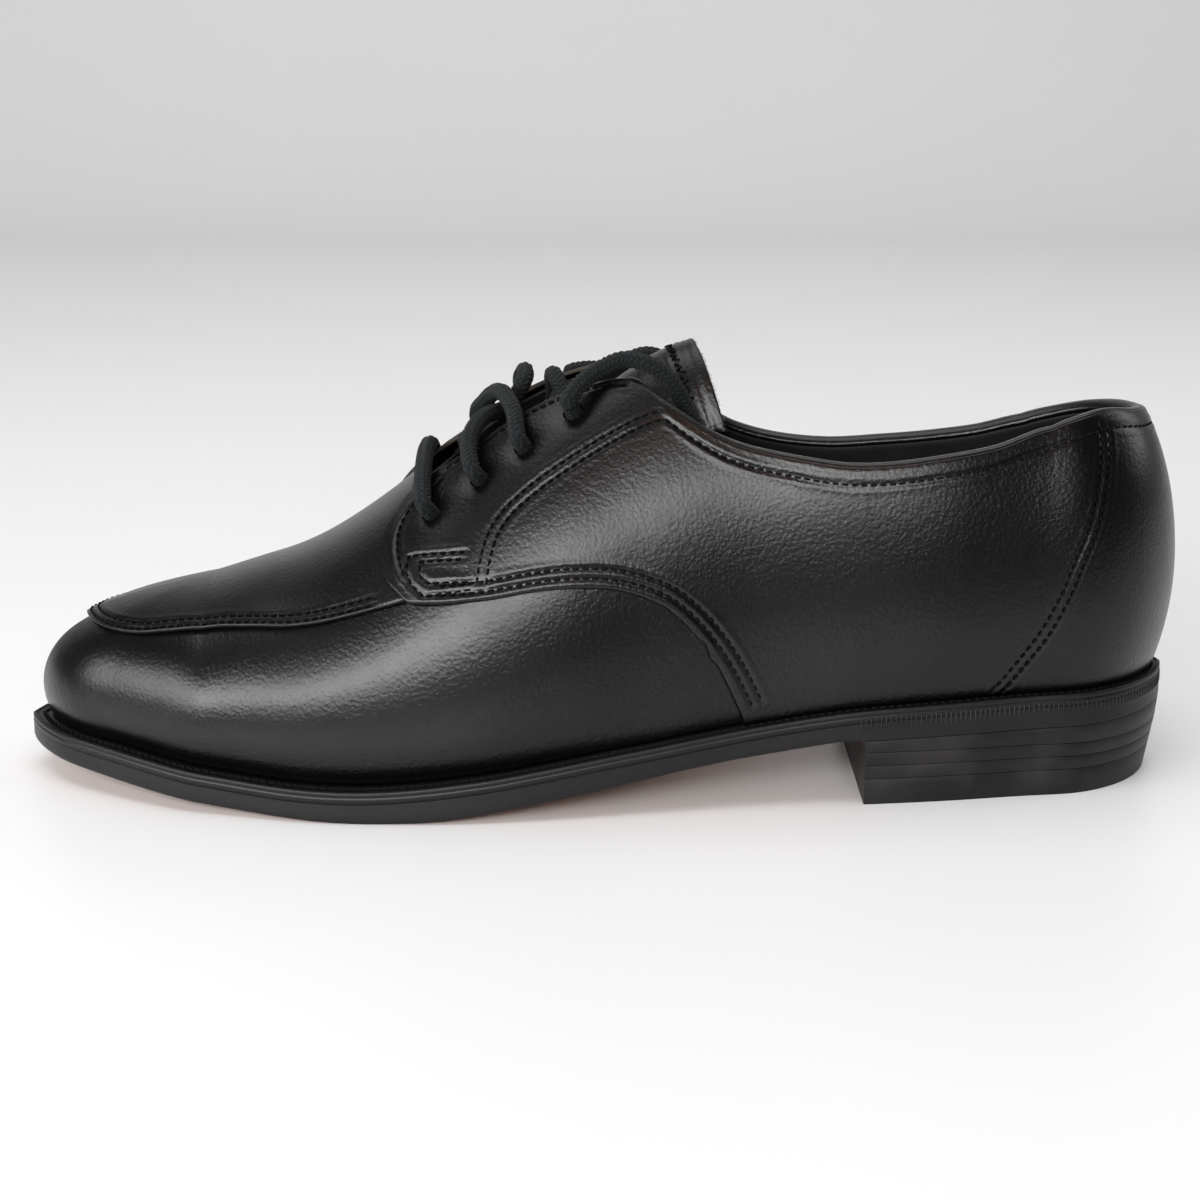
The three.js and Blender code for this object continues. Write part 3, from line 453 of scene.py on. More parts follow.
# %% Lace cotton
def lace_cotton():
    """Charcoal cotton with painted shade in the hollows between strands; a fuzz of fibres scatters light."""
    finish = Finish("lace_cotton", Specular_IOR_Level=0.25, Sheen_Weight=0.06, Sheen_Roughness=0.6)
    crown = finish.attribute("crown")
    fibre = finish.noise(0.16, detail=4, roughness=0.7)
    # Painted shade: the braid's hollows get a far darker colour than the strands' crowns.
    shade = finish.blend(crown, (0.0016, 0.0018, 0.0019), (0.0165, 0.0185, 0.0195))
    finish.feed("Base Color", finish.blend(fibre * 0.4, shade, (0.031, 0.035, 0.037)))
    finish.feed("Roughness", 0.85 + fibre * 0.15)
    return finish.bumped(fibre, 0.09, 1.0)


COTTON = lace_cotton()

# %% [markdown]
# ## Meshes from loops
# Most pieces here are lofts: a closed outline carried along a row of places. A grid of points
# becomes a mesh in one go, which keeps even the finest pieces quick to build.

# %% Loft helper
def add_piece(name, points, quads, finish, replaces=(), body="shoe", attributes=None):
    mesh = bpy.data.meshes.new(name)
    mesh.vertices.add(len(points))
    mesh.vertices.foreach_set("co", np.asarray(points, np.float32).ravel())
    mesh.loops.add(quads.size)
    mesh.loops.foreach_set("vertex_index", quads.ravel().astype(np.int32))
    mesh.polygons.add(len(quads))
    mesh.polygons.foreach_set("loop_start", np.arange(0, quads.size, 4, dtype=np.int32))
    mesh.update(calc_edges=True)
    mesh.shade_smooth()
    for key, values in (attributes or {}).items():
        layer = mesh.attributes.new(key, "FLOAT", "POINT")
        layer.data.foreach_set("value", np.asarray(values, np.float32).ravel())
    piece = bpy.data.objects.new(name, mesh)
    bpy.context.scene.collection.objects.link(piece)
    mesh.materials.append(finish.material)
    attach(piece, body)
    if replaces:
        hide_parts(*replaces)
    return piece


def loft_quads(rows, across, closed_rows=False, capped=True):
    """Quads of a loft whose outlines are closed; the caps join each point to its opposite one."""
    row = np.arange(rows if closed_rows else rows - 1)[:, None]
    col = np.arange(across)[None, :]
    nxt, right = (row + 1) % rows, (col + 1) % across
    quads = np.stack([row * across + col, nxt * across + col, nxt * across + right, row * across + right], -1)
    parts = [quads.reshape(-1, 4)]
    if capped and not closed_rows:
        j = np.arange(across // 2 - 1)
        strip = np.stack([j, j + 1, across - 2 - j, across - 1 - j], -1)
        parts += [strip, strip[:, ::-1] + (rows - 1) * across]
    return np.concatenate(parts)


def outward(piece):
    """Turns the faces of a closed piece to look out."""
    work = bmesh.new()
    work.from_mesh(piece.data)
    bmesh.ops.recalc_face_normals(work, faces=work.faces)
    work.to_mesh(piece.data)
    work.free()
    piece.data.shade_smooth()
    return piece


print("helpers ready")

# %% [markdown]
# ## The lace
# One round cotton lace is threaded down and up through the holes, so that bars and crossings
# change sides on top of the tongue. Its two spare ends go over the corners of the facings and
# are tucked inside, where they lie along the walls. The route's points are the solids' own:
# side, station, height on the wall and distance from the last's skin. The braid is real relief:
# two families of strands wind round opposite ways and go over two and under two.

# %% The lace's route
LACE = 4.5
HOLE_STATIONS = (110.5, 122, 133, 145.4)
HOLE_HEIGHTS = {NEAR: (0.63, 0.638, 0.645, 0.67), FAR: (0.64, 0.645, 0.65, 0.655)}
LEATHER, QUARTER_LEATHER = 1.3, 1.4
PASS = (4.6, 1.8, -3.4, -5.6)
UNDER = -6.1


def lift(s):
    return (LEATHER + GAP) * (1 - smooth(107, 122, s))


def over(side, row, d):
    s = HOLE_STATIONS[row]
    return (side, s, HOLE_HEIGHTS[side][row], d + float(lift(s)) if d > 0 else d)


def down_through(side, row):
    return [over(side, row, d) for d in PASS]


def up_through(side, row):
    return down_through(side, row)[::-1]


FRONT_BAR = [
    (FAR, 110.5, 0.7, 6.6), (FAR, 110, 0.82, 5.2), (NEAR, 109.5, 0.99, 4.4), (NEAR, 110, 0.82, 5.4),
    (NEAR, 110.5, 0.7, 6.6),
]
LACE_ROUTE = [
    *down_through(NEAR, 3), (NEAR, 142, 0.8, UNDER), (NEAR, 139.5, 0.985, -0.8), (FAR, 137, 0.8, UNDER),
    *up_through(FAR, 2), (FAR, 133.5, 0.76, 5.6), (FAR, 134.5, 0.86, 4.2), (FAR, 133, 0.95, 1.4),
    (NEAR, 127.5, 0.985, -1.2), (NEAR, 123.5, 0.88, 2.8), (NEAR, 121.5, 0.75, 5.2),
    *down_through(NEAR, 1), (NEAR, 119, 0.8, UNDER), (NEAR, 116.5, 0.985, -0.8), (FAR, 114, 0.8, UNDER),
    *up_through(FAR, 0), *FRONT_BAR,
    *down_through(NEAR, 0), (NEAR, 113.5, 0.8, UNDER), (NEAR, 116, 0.985, UNDER), (FAR, 119, 0.8, UNDER),
    *up_through(FAR, 1), (FAR, 122, 0.74, 5.2), (FAR, 124, 0.87, 3.6), (NEAR, 127, 0.985, 3.9),
    (NEAR, 130, 0.87, 4.8), (NEAR, 132.5, 0.74, 5.2),
    *down_through(NEAR, 2), (NEAR, 136.5, 0.8, UNDER), (NEAR, 139, 0.985, UNDER), (FAR, 142.5, 0.8, UNDER),
    *up_through(FAR, 3),
]
OVER_CORNER = {
    NEAR: [
        (148.5, 0.705, 6.4), (153.5, 0.735, 5.4), (159, 0.74, 4.8), (164, 0.71, 3.8), (169, 0.67, 0.2),
        (173.5, 0.59, -5.8), (178, 0.47, -7.2), (183, 0.33, -7.2),
    ],
    FAR: [
        (149, 0.645, 6.4), (154, 0.63, 5.2), (160, 0.628, 4.9), (165, 0.63, 4.7), (169, 0.62, 2.6),
        (172, 0.605, -1.4), (175.5, 0.55, -6), (180, 0.43, -7.2), (184, 0.31, -7.2),
    ],
}
INSIDE_RUN = [
    (188, 0.16, -7.2), (193, 0, -7.2), (199, -0.25, -7.4), (206, -0.45, -8), (214, -0.55, -8.4),
    (226, -0.58, -8.4), (238, -0.6, -8.4), (246, -0.61, -8.4),
]


def tail_route(side):
    rest = [(side, *point) for point in OVER_CORNER[side] + INSIDE_RUN]
    return [over(side, 3, 5.2), over(side, 3, 6.4), *rest]


print("lace points:", len(LACE_ROUTE), "and", len(tail_route(NEAR)), "on each spare end")

# %% A smooth line through the route, and frames along it
def smooth_line(points, step):
    """A centripetal curve through the points, cut into even steps."""
    p = np.concatenate([[2 * points[0] - points[1]], points, [2 * points[-1] - points[-2]]])
    line = []
    for i in range(1, len(p) - 2):
        x0, x1, x2, x3 = p[i - 1 : i + 3]
        t0, t1, t2 = (np.linalg.norm(b - a) ** 0.5 for a, b in ((x0, x1), (x1, x2), (x2, x3)))
        start = ((x1 - x0) / t0 - (x2 - x0) / (t0 + t1) + (x2 - x1) / t1) * t1
        end = ((x2 - x1) / t1 - (x3 - x1) / (t1 + t2) + (x3 - x2) / t2) * t1
        t = np.linspace(0, 1, 60, endpoint=False)[:, None]
        bend = 3 * (x2 - x1) - 2 * start - end
        twist = 2 * (x1 - x2) + start + end
        line.append(x1 + start * t + bend * t**2 + twist * t**3)
    line = np.concatenate([*line, points[-1:]])
    run = np.concatenate([[0], np.cumsum(np.linalg.norm(np.diff(line, axis=0), axis=1))])
    even = np.linspace(0, run[-1], max(int(run[-1] / step), 4))
    return np.stack([np.interp(even, run, line[:, k]) for k in range(3)], -1), run[-1]


def carried_frames(line):
    """Two directions across the line at each point, carried along it without twist."""
    ahead = unit(np.gradient(line, axis=0))
    first = np.cross(ahead[0], [0, 0, 1.0])
    if np.linalg.norm(first) < 0.1:
        first = np.cross(ahead[0], [0, 1.0, 0])
    sides = [unit(first)]
    for t in ahead[1:]:
        v = sides[-1] - t * np.dot(sides[-1], t)
        sides.append(v / np.linalg.norm(v))
    sides = np.array(sides)
    return sides, np.cross(ahead, sides)


def route_points(route):
    side, s, h, d = (np.array(v, float) for v in zip(*route))
    return skin(side, s, h, d)


lace_line, lace_length = smooth_line(route_points(LACE_ROUTE), 0.25 * MM)
print(f"laced run {lace_length * 1000:.0f} mm")

# %% Braided cord
STRANDS, CELL = 8, 1.35  # strands each way round, and the length of one crossing in mm


def braid_height(turn, along_mm):
    """0 in the hollows to 1 on the strands: over two, under two, in both winding directions."""
    a = turn * STRANDS + along_mm / CELL
    b = turn * STRANDS - along_mm / CELL
    ia, ib = np.floor(a), np.floor(b)
    fa, fb = a - ia, b - ib
    step = np.mod(ia + ib, 4)
    first_on_top = step < 2
    part = np.where(first_on_top, (step + fb) / 2, (step - 2 + fa) / 2)
    across = np.where(first_on_top, fa, fb)
    return np.sin(np.pi * across) ** 0.6 * (0.45 + 0.55 * np.sin(np.pi * np.clip(part, 0, 1)))


BRAID_SINK, BRAID_SWELL = 0.52, 0.54  # mm that the hollows lie below the cord's radius, and crowns rise


def braided_cord(name, line, replaces, around=44):
    first, second = carried_frames(line)
    run = np.concatenate([[0], np.cumsum(np.linalg.norm(np.diff(line, axis=0), axis=1))]) * 1000
    turn = np.arange(around) / around
    height = braid_height(turn[None, :], run[:, None])
    radius = (LACE / 2 - BRAID_SINK + BRAID_SWELL * height) * MM
    angle = 2 * np.pi * turn
    points = line[:, None] + radius[..., None] * (
        first[:, None] * np.cos(angle)[None, :, None] + second[:, None] * np.sin(angle)[None, :, None]
    )
    quads = loft_quads(len(line), around)
    # The braid's height also sets the painted shade in the lace's hollows.
    piece = add_piece(
        name, points.reshape(-1, 3), quads, COTTON, replaces, attributes={"crown": height}
    )
    return outward(piece)


lace = braided_cord("laced_cord", lace_line, ["lace"])
print("laced cord:", len(lace.data.vertices), "points")

# %% The spare ends and their aglets
AGLET_SIZE = {"length": 16.0, "radius": 1.5}


def aglet_piece(name, end, way, node):
    """A crimped plastic tube: narrow shoulders, a faint waist and a rounded tip."""
    size = AGLET_SIZE
    along = np.array([0, 0.15, 0.6, 4, 8, 12, 15, 15.7, 16]) / 16 * size["length"] + GAP
    radius = np.array([0.75, 0.93, 1, 0.97, 0.94, 0.97, 0.95, 0.75, 0.3]) * size["radius"]
    first = unit(np.cross(way, [0, 0, 1.0]))
    second = np.cross(way, first)
    angle = np.arange(24) / 24 * 2 * np.pi
    ring = first[None] * np.cos(angle)[:, None] + second[None] * np.sin(angle)[:, None]
    points = end + (way * along[:, None, None] + ring[None] * radius[:, None, None]) * MM
    return outward(add_piece(name, points.reshape(-1, 3), loft_quads(9, 24), AGLET, [node]))


for side, word in ((NEAR, "outer"), (FAR, "inner")):
    points = route_points(tail_route(side))
    line, length = smooth_line(points, 0.25 * MM)
    tail = braided_cord(f"spare_end_{word}", line, [f"lace_tail_{word}"])
    tip = aglet_piece(f"lace_tip_{word}", points[-1], unit(points[-1] - points[-2]), f"aglet_{word}")
    print(f"spare end {word}: {length * 1000:.0f} mm")

# %% [markdown]
# ## Outlines and seams
# The pieces of the upper end on curves drawn on the last. Seams follow them a few millimetres
# in, and leather sinks along a row of stitches and swells beside it. So the seams are laid out
# first, and the leather is shaped to them afterwards.

# %% Outlines of the upper's pieces
APRON_END, VAMP_END, VAMP_LAP, QUARTER_FRONT = 105, 200, 5, 98
apron_seam = through(
    (TIP, 0.49), (0, 0.475), (16, 0.48), (33, 0.525), (50, 0.56), (62, 0.525), (76, 0.475), (101, 0.41),
    (120, 0.36),
)
quarter_foot_line = through(
    (98, 0.53), (100, 0.47), (102, 0.43), (105, 0.38), (122, 0.298), (135, 0.261), (148, 0.225), (157, 0.191),
    (167, 0.137), (170, 0.113), (173, 0.085), (176, 0.052), (179, 0.014), (181, -0.097), (183, -0.311),
    (186, -0.674), (188.5, -1),
)
topline = two_sided(
    through(
        (98, 0.65), (100, 0.72), (102, 0.76), (105, 0.795), (124, 0.781), (140, 0.762), (150, 0.744),
        (158, 0.705), (162, 0.67), (167, 0.6), (173, 0.535), (180, 0.474), (190, 0.42), (209, 0.359),
        (222, 0.346), (237, 0.361), (252, 0.398), (265, 0.466), (280, 0.507), (291, 0.515), (304, 0.495),
        (BACK, 0.479),
    ),
    through(
        (98, 0.65), (100, 0.72), (102, 0.77), (105, 0.81), (124, 0.8), (140, 0.755), (150, 0.725),
        (158, 0.69), (162, 0.65), (167, 0.58), (173, 0.513), (180, 0.446), (188, 0.384), (201, 0.33),
        (214, 0.305), (228, 0.305), (241, 0.315), (254, 0.342), (266, 0.392), (278, 0.424), (291, 0.455),
        (304, 0.475), (BACK, 0.479),
    ),
)
BEAD_START = 158  # station where the topline's fold begins


def quarter_foot(s):
    return np.where(np.asarray(s) > 188, -1.0, quarter_foot_line(s))


def quarter_face(side, s, h):
    """Depth of the quarters' outer face."""
    return GAP + lift(s) + QUARTER_LEATHER


def apron_face(side, s, h):
    return GAP + LEATHER + 0 * np.asarray(s, float)


def to_far(s, h):
    """The height on the inner quarter that matches h on the outer one."""
    foot = quarter_foot(s)
    return foot + (h - foot) / (topline(NEAR, s) - foot) * (topline(FAR, s) - foot)


print("outlines ready")

# %% Rows of stitching
seams = []  # each: name, points and normals along it, in the frame


def add_seam(name, side, points, face, offset=0.0, straight=False, drift=0.0):
    """A stitched row through (station, height) points, shifted sideways by offset mm, or more later on."""
    s, h = (np.array(v, float) for v in zip(*points))
    if straight:
        at = np.arange(len(s))
        fine = np.linspace(0, len(s) - 1, 60 * len(s))
        s, h = np.interp(fine, at, s), np.interp(fine, at, h)
    place = skin(side, s, h, face(side, s, h))
    normal = last_normal(side, s, h)
    if offset:
        aside = unit(np.cross(normal, np.gradient(place, axis=0))) * side
        place = place + aside * (offset + drift * np.linspace(0, 1, len(s))[:, None] ** 2) * MM
    if not straight:
        run = run_along(place)
        place, _ = smooth_line(place, 0.1 * MM)
        even = run_along(place)
        even = even / even[-1] * run[-1]
        normal = unit(np.stack([np.interp(even, run, normal[:, k]) for k in range(3)], -1))
    seams.append((name, place, normal))


def both_sides(name, points, offset=0.0, straight=False):
    add_seam(f"{name}_outer", NEAR, points, quarter_face, offset, straight)
    far = [(s, float(to_far(s, h))) for s, h in points]
    add_seam(f"{name}_inner", FAR, far, quarter_face, offset, straight)


FACING_ROW = [
    (121.2, 0.34), (122, 0.39), (124.2, 0.455), (128, 0.492), (135.5, 0.518), (142.2, 0.533), (151.2, 0.552),
    (161, 0.564), (167, 0.568),
]
HEEL_ROW = [
    (284, 0.475), (282.5, 0.39), (280.2, 0.3), (277.2, 0.2), (272.8, 0.1), (269, 0.01), (263.8, -0.33),
    (259.2, -0.58), (252.5, -0.93),
]
TAB_OUTER = [(119, 0.44), (104.9, 0.525), (104.2, 0.48), (105.6, 0.43), (108.5, 0.38), (120.5, 0.333)]
TAB_INNER = [(118.2, 0.425), (107.8, 0.487), (107.6, 0.445), (109.8, 0.41), (120.4, 0.352)]
NOSE_ROW = [(113.8, 0.735), (108.5, 0.72), (104.5, 0.69), (102.3, 0.63), (102.4, 0.54), (104, 0.46)]
for offset in (0, 2.4):
    both_sides("facing_row", FACING_ROW, offset)
    both_sides("heel_row", HEEL_ROW, -offset)
both_sides("tab_outer", TAB_OUTER, straight=True)
both_sides("tab_inner", TAB_INNER, straight=True)
both_sides("nose_row", NOSE_ROW)
foot = [
    (a, float(quarter_foot(a)))
    for a in (112, 118, 124, 130, 137, 144, 151, 157, 162, 167, 171, 175, 179, 182, 184.5, 187)
]
for inward, spread in ((2.2, 1.4), (4.7, 1.6)):  # the rows drift away from the edge towards the sole
    for side, word in ((NEAR, "outer"), (FAR, "inner")):
        add_seam(f"foot_row_{word}", side, foot, quarter_face, -inward, drift=-spread)
print("seams so far:", len(seams))

# %% Rows along the topline, the facings' edges and the apron
for side, word in ((NEAR, "outer"), (FAR, "inner")):
    s = np.concatenate([np.arange(168, 266, 7), np.linspace(266, BACK - 0.5, 9)])
    add_seam(f"topline_row_{word}", side, list(zip(s, raised(side, s, topline(side, s), -4.2))), quarter_face)
    s = np.array([113.8, 120, 126, 132, 138, 144, 150, 155, 159])
    add_seam(f"lacing_row_{word}", side, list(zip(s, raised(side, s, topline(side, s), -1.7))), quarter_face)
    s = np.concatenate([np.linspace(TIP, 50, 24), np.arange(56, 101, 5)])
    for rise in (1.3, 3.3):
        add_seam(f"apron_row_{word}", side, list(zip(s, raised(side, s, apron_seam(s), rise))), apron_face)
seam_tree = KDTree(sum(len(place[::3]) for _, place, _ in seams))
count = 0
for _, place, _ in seams:
    for point in place[::3]:
        seam_tree.insert(point, count)
        count += 1
seam_tree.balance()
sewn = sum(run_along(place)[-1] for _, place, _ in seams) / 1000
print("seams:", len(seams), "total", round(sewn, 2), "m")


def seam_relief(points):
    """How far leather sinks (-) or swells (+) at each point, in mm."""
    flat = points.reshape(-1, 3)
    away = np.array([seam_tree.find(p)[2] for p in flat]).reshape(points.shape[:-1]) * 1000
    return -0.3 * np.exp(-((away / 0.55) ** 2)) + 0.13 * np.exp(-(((away - 1.25) / 0.6) ** 2))

# %% [markdown]
# ## The upper
# Each piece is a sheet of leather with thickness and softly rounded cut edges. Its outline goes
# up the outer face, over the edge and down the inner face, and the loft carries it round the
# shoe. The relief along the seams goes into the outer face. Lace holes are cut afterwards, each
# with a small dip where the lace drags the leather in.

# %% Sheets of leather
EDGE_STEPS = np.array([0, 0.12, 0.45, 1.0])


def sheet_outlines(side, s, low, high, d_in, d_out, count, rounding=0.45, relief=False, s_high=None):
    """Closed outlines up the wall, one per station; an outline may lean from s to s_high."""
    side, s, low, high, s_high = np.broadcast_arrays(side, s, low, high, s if s_high is None else s_high)
    probe = np.linspace(0, 1, 24)
    h = low[:, None] + (high - low)[:, None] * probe
    walls = skin(side[:, None], s[:, None] + (s_high - s)[:, None] * probe, h, 0.0)
    run = np.concatenate(
        [np.zeros((len(s), 1)), np.cumsum(np.linalg.norm(np.diff(walls, axis=1), axis=2), axis=1)], axis=1
    ) / MM
    shares = []
    for i in range(len(s)):
        r = min(rounding, run[i, -1] / 4)
        low_edge, high_edge = EDGE_STEPS * r, run[i, -1] - EDGE_STEPS[::-1] * r
        places = np.concatenate([low_edge, np.linspace(r, run[i, -1] - r, count + 2)[1:-1], high_edge])
        shares.append(np.interp(places, run[i], probe))
    share = np.array(shares)
    h = low[:, None] + (high - low)[:, None] * share
    sink = rounding * np.concatenate([1 - EDGE_STEPS, np.zeros(count), (1 - EDGE_STEPS)[::-1]]) ** 2
    side2, s2 = side[:, None] + 0 * h, s[:, None] + (s_high - s)[:, None] * share
    value = lambda d: d(side2, s2, h) if callable(d) else d + 0 * h
    outer_depth, inner_depth = value(d_out) - sink, value(d_in) + sink
    outer = skin(side2, s2, h, outer_depth)
    if relief:
        outer = skin(side2, s2, h, outer_depth + relief_of(outer))
    inner = skin(side2, s2, h, inner_depth)
    return np.concatenate([outer, inner[:, ::-1]], axis=1)


def relief_of(points):
    return seam_relief(points) + hole_dips(points)


HOLES = {
    side: skin(side, np.array(HOLE_STATIONS), np.array(HOLE_HEIGHTS[side]), 1.75) for side in (NEAR, FAR)
}


def hole_dips(points):
    """Leather drawn in round each lace hole, in mm."""
    dip = 0
    for centres in HOLES.values():
        for centre in centres:
            away = np.linalg.norm(points - centre, axis=-1) * 1000
            dip = dip - 0.75 * np.exp(-((away / 3.6) ** 2))
    return dip


def even_stations(start, end, step):
    return np.linspace(start, end, int((end - start) / step) + 2)


def round_toe(end, step):
    """Sides and stations from the outer side, round the toe, to the inner side."""
    s = even_stations(TIP, end, step)
    return np.concatenate([np.full(len(s), NEAR), np.full(len(s) - 1, FAR)]), np.concatenate([s[::-1], s[1:]])


def round_heel(start, step):
    s = even_stations(start, BACK, step)
    return np.concatenate([np.full(len(s), NEAR), np.full(len(s) - 1, FAR)]), np.concatenate([s, s[::-1][1:]])


def leather_piece(name, outlines, finish, replaces, body="shoe"):
    rows, across = outlines.shape[:2]
    piece = add_piece(name, outlines.reshape(-1, 3), loft_quads(rows, across), finish, replaces, body)
    return outward(piece)


print("holes at", np.round(HOLES[NEAR][0], 4), "and on")

# %% Vamp
def vamp_top(side, s):
    lap = raised(side, s, apron_seam(s), VAMP_LAP)
    under = 0.42 * (1 - smooth(139, 190, s))
    return np.where(s < APRON_END, lap, np.minimum(lap, np.maximum(under, -0.35)))


fine = 0.8
side, s = round_toe(VAMP_END, fine)
vamp = leather_piece(
    "vamp_leather", sheet_outlines(side, s, -1.0, vamp_top(side, s), -LEATHER, 0.0, 64, relief=True),
    CALF, ["vamp"],
)
print("vamp:", len(vamp.data.vertices), "points")

# %% Apron
def over_ridge(near, far):
    """Joins the outer and inner side's outlines of one station into one that crosses the ridge."""
    half = near.shape[1] // 2
    rise_near, fall_near = near[:, : half - 4], near[:, half + 4 :]
    rise_far, fall_far = far[:, : half - 4], far[:, half + 4 :]
    return np.concatenate([rise_near, rise_far[:, ::-1], fall_far[:, ::-1], fall_near], axis=1)


def sheet_over_ridge(stations, low, d_in, d_out, count, relief=False):
    halves = [
        sheet_outlines(
            np.full(len(stations), side), stations, low(side, stations), 1.0,
            d_in, d_out, count, relief=relief,
        )
        for side in (NEAR, FAR)
    ]
    return over_ridge(*halves)


def merged(piece, distance=2e-6):
    """Sews doubled points of a piece together, where a fan of outlines meets."""
    work = bmesh.new()
    work.from_mesh(piece.data)
    bmesh.ops.remove_doubles(work, verts=work.verts, dist=distance)
    bmesh.ops.recalc_face_normals(work, faces=work.faces)
    work.to_mesh(piece.data)
    work.free()
    piece.data.shade_smooth()
    return piece


stations = even_stations(TIP, APRON_END, fine)
apron = merged(leather_piece(
    "apron_leather",
    sheet_over_ridge(stations, lambda side, s: apron_seam(s), GAP, GAP + LEATHER, 56, relief=True),
    CALF, ["apron"],
))
print("apron:", len(apron.data.vertices), "points")

# %% Quarters with their lace holes
HOLE_RADIUS, LINING_HOLE_RADIUS = 2.62, 2.9


def pierce(piece, side, radius):
    """Cuts the lace holes along the normal of the last."""
    drill = bmesh.new()
    for s, h in zip(HOLE_STATIONS, HOLE_HEIGHTS[side]):
        centre, normal = Vector(skin(side, s, h, 0.0)), Vector(last_normal(side, s, h))
        turn = normal.to_track_quat("Z", "Y").to_matrix().to_4x4()
        turn.translation = centre
        bmesh.ops.create_cone(
            drill, cap_ends=True, segments=40, radius1=radius * MM, radius2=radius * MM, depth=16 * MM,
            matrix=turn,
        )
    mesh = bpy.data.meshes.new("drill")
    drill.to_mesh(mesh)
    drill.free()
    tool = bpy.data.objects.new("drill", mesh)
    bpy.context.scene.collection.objects.link(tool)
    cut = piece.modifiers.new("holes", "BOOLEAN")
    cut.operation, cut.solver, cut.object = "DIFFERENCE", "EXACT", tool
    bpy.context.view_layer.update()
    shaped = bpy.data.meshes.new_from_object(piece.evaluated_get(bpy.context.evaluated_depsgraph_get()))
    piece.modifiers.clear()
    piece.data = shaped
    bpy.data.objects.remove(tool)
    return piece


def shade_by_angle(piece, degrees=35):
    piece.data.set_sharp_from_angle(angle=math.radians(degrees))
    return piece


QUARTER_BELOW = -0.2  # mm that the outer leather stops below the fold's middle


def bare_top(side, s, below=QUARTER_BELOW):
    return raised(side, s, topline(side, s), -smooth(BEAD_START - 9, BEAD_START, s) * below)


def foot_walk(side, step):
    """Stations evenly along the quarter's lower edge, and the stations above that they lean to."""
    s = np.concatenate([np.linspace(QUARTER_FRONT, 188.5, 3000), np.linspace(188.6, BACK - 0.007, 1500)])
    run = run_along(skin(side, s, quarter_foot(s), 0.0))
    even = np.concatenate([[0, 0.25, 0.6], np.linspace(1, run[-1], int(run[-1] / step))])
    low = np.interp(even, run, s)
    lean = np.interp([QUARTER_FRONT, 105, 150, 188.5, BACK - 0.007], s, run)
    return low, np.interp(even, lean, [QUARTER_FRONT, 105, 151, 214, BACK - 0.007])


for side, word in ((NEAR, "outer"), (FAR, "inner")):
    s, s_high = foot_walk(side, fine)
    outlines = sheet_outlines(
        np.full(len(s), side), s, quarter_foot(s), bare_top(side, s_high),
        lambda side, s, h: GAP + lift(s), quarter_face, 78, relief=True, s_high=s_high,
    )
    quarter = leather_piece(f"quarter_leather_{word}", outlines, CALF, [f"quarter_{word}"])
    half, across = outlines.shape[1] // 2, outlines.shape[1]
    facing_rows = int(np.sum(s_high < BEAD_START))
    quarter.data.materials.append(FACING_EDGE.material)
    for row in range(facing_rows):
        for col in (half - 3, half - 2, half - 1, half, half + 1):
            quarter.data.polygons[row * across + col].material_index = 1
    shade_by_angle(pierce(quarter, side, HOLE_RADIUS), 50)
    print("quarter", word, len(quarter.data.vertices), "points")

# %% [markdown]
# ## Topline, linings and tongue
# The topline is a strip of leather folded over the edge, so it shows as a slim round bead. The
# linings close the inside. The tongue is a sheet of its own on a hinge, with a raw cut edge, a
# crossed row of stitches near its end, and leather lining below.

# %% Topline fold
def fold_outlines(side, s, around=24):
    """Ovals round the topline: as wide as leather and lining together, and rounded on top."""
    h = topline(side, s)
    middle = skin(side, s, h, 0.0)
    out = last_normal(side, s, h)
    up = unit(skin(side, s, h + 0.02, 0.0) - skin(side, s, h - 0.02, 0.0))
    inner = -np.interp(s, [BEAD_START, 178], [1.7, 3.1])
    centre, half = (1.55 + inner) / 2, (1.55 - inner) / 2
    angle = np.arange(around) / around * 2 * np.pi
    across = (centre[:, None] + half[:, None] * np.cos(angle)) * MM
    rise = 1.55 * np.sin(angle) * np.where(np.sin(angle) < 0, 1.6, 1.0) * MM
    return middle[:, None] + out[:, None] * across[..., None] + up[:, None] * rise[None, :, None]


side, s = round_heel(BEAD_START + 1.5, 1.0)
bead_line = skin(side, s, topline(side, s), -0.1)
leather_piece("topline_fold", fold_outlines(side, s), CALF, ["topline_bead"])
print("topline:", round(np.linalg.norm(np.diff(bead_line, axis=0), axis=1).sum(), 3), "m")

# %% Linings
LINING_THICK, PUFF = 0.9, 0.7
lining_out = -LEATHER - 2 * GAP - PUFF
lining_in = lining_out - LINING_THICK
facing_out = -0.6 - GAP
facing_in = facing_out - LINING_THICK


def facing_share(s, h):
    return smooth(0.37, 0.48, h) * (1 - smooth(160, 176, s))


def lining_depth(deep, close):
    return lambda side, s, h: deep + (close - deep) * facing_share(s, h)


stations = even_stations(TIP, APRON_END, 2.5)
vamp_lining = merged(leather_piece(
    "vamp_lining_leather",
    sheet_over_ridge(stations, lambda side, s: -1.0 + 0 * s, lining_in, lining_out, 40),
    LINING, ["vamp_lining"],
))
side, s = round_heel(APRON_END + 0.6, 1.6)
quarter_lining = leather_piece(
    "quarter_lining_leather",
    sheet_outlines(
        side, s, -1.0, bare_top(side, s, 0.5), lining_depth(lining_in, facing_in),
        lining_depth(lining_out, facing_out), 48, rounding=0.3,
    ),
    LINING, ["quarter_lining"],
)
for side in (NEAR, FAR):
    pierce(quarter_lining, side, LINING_HOLE_RADIUS)
shade_by_angle(quarter_lining, 50)
print("linings:", len(vamp_lining.data.vertices), "and", len(quarter_lining.data.vertices), "points")

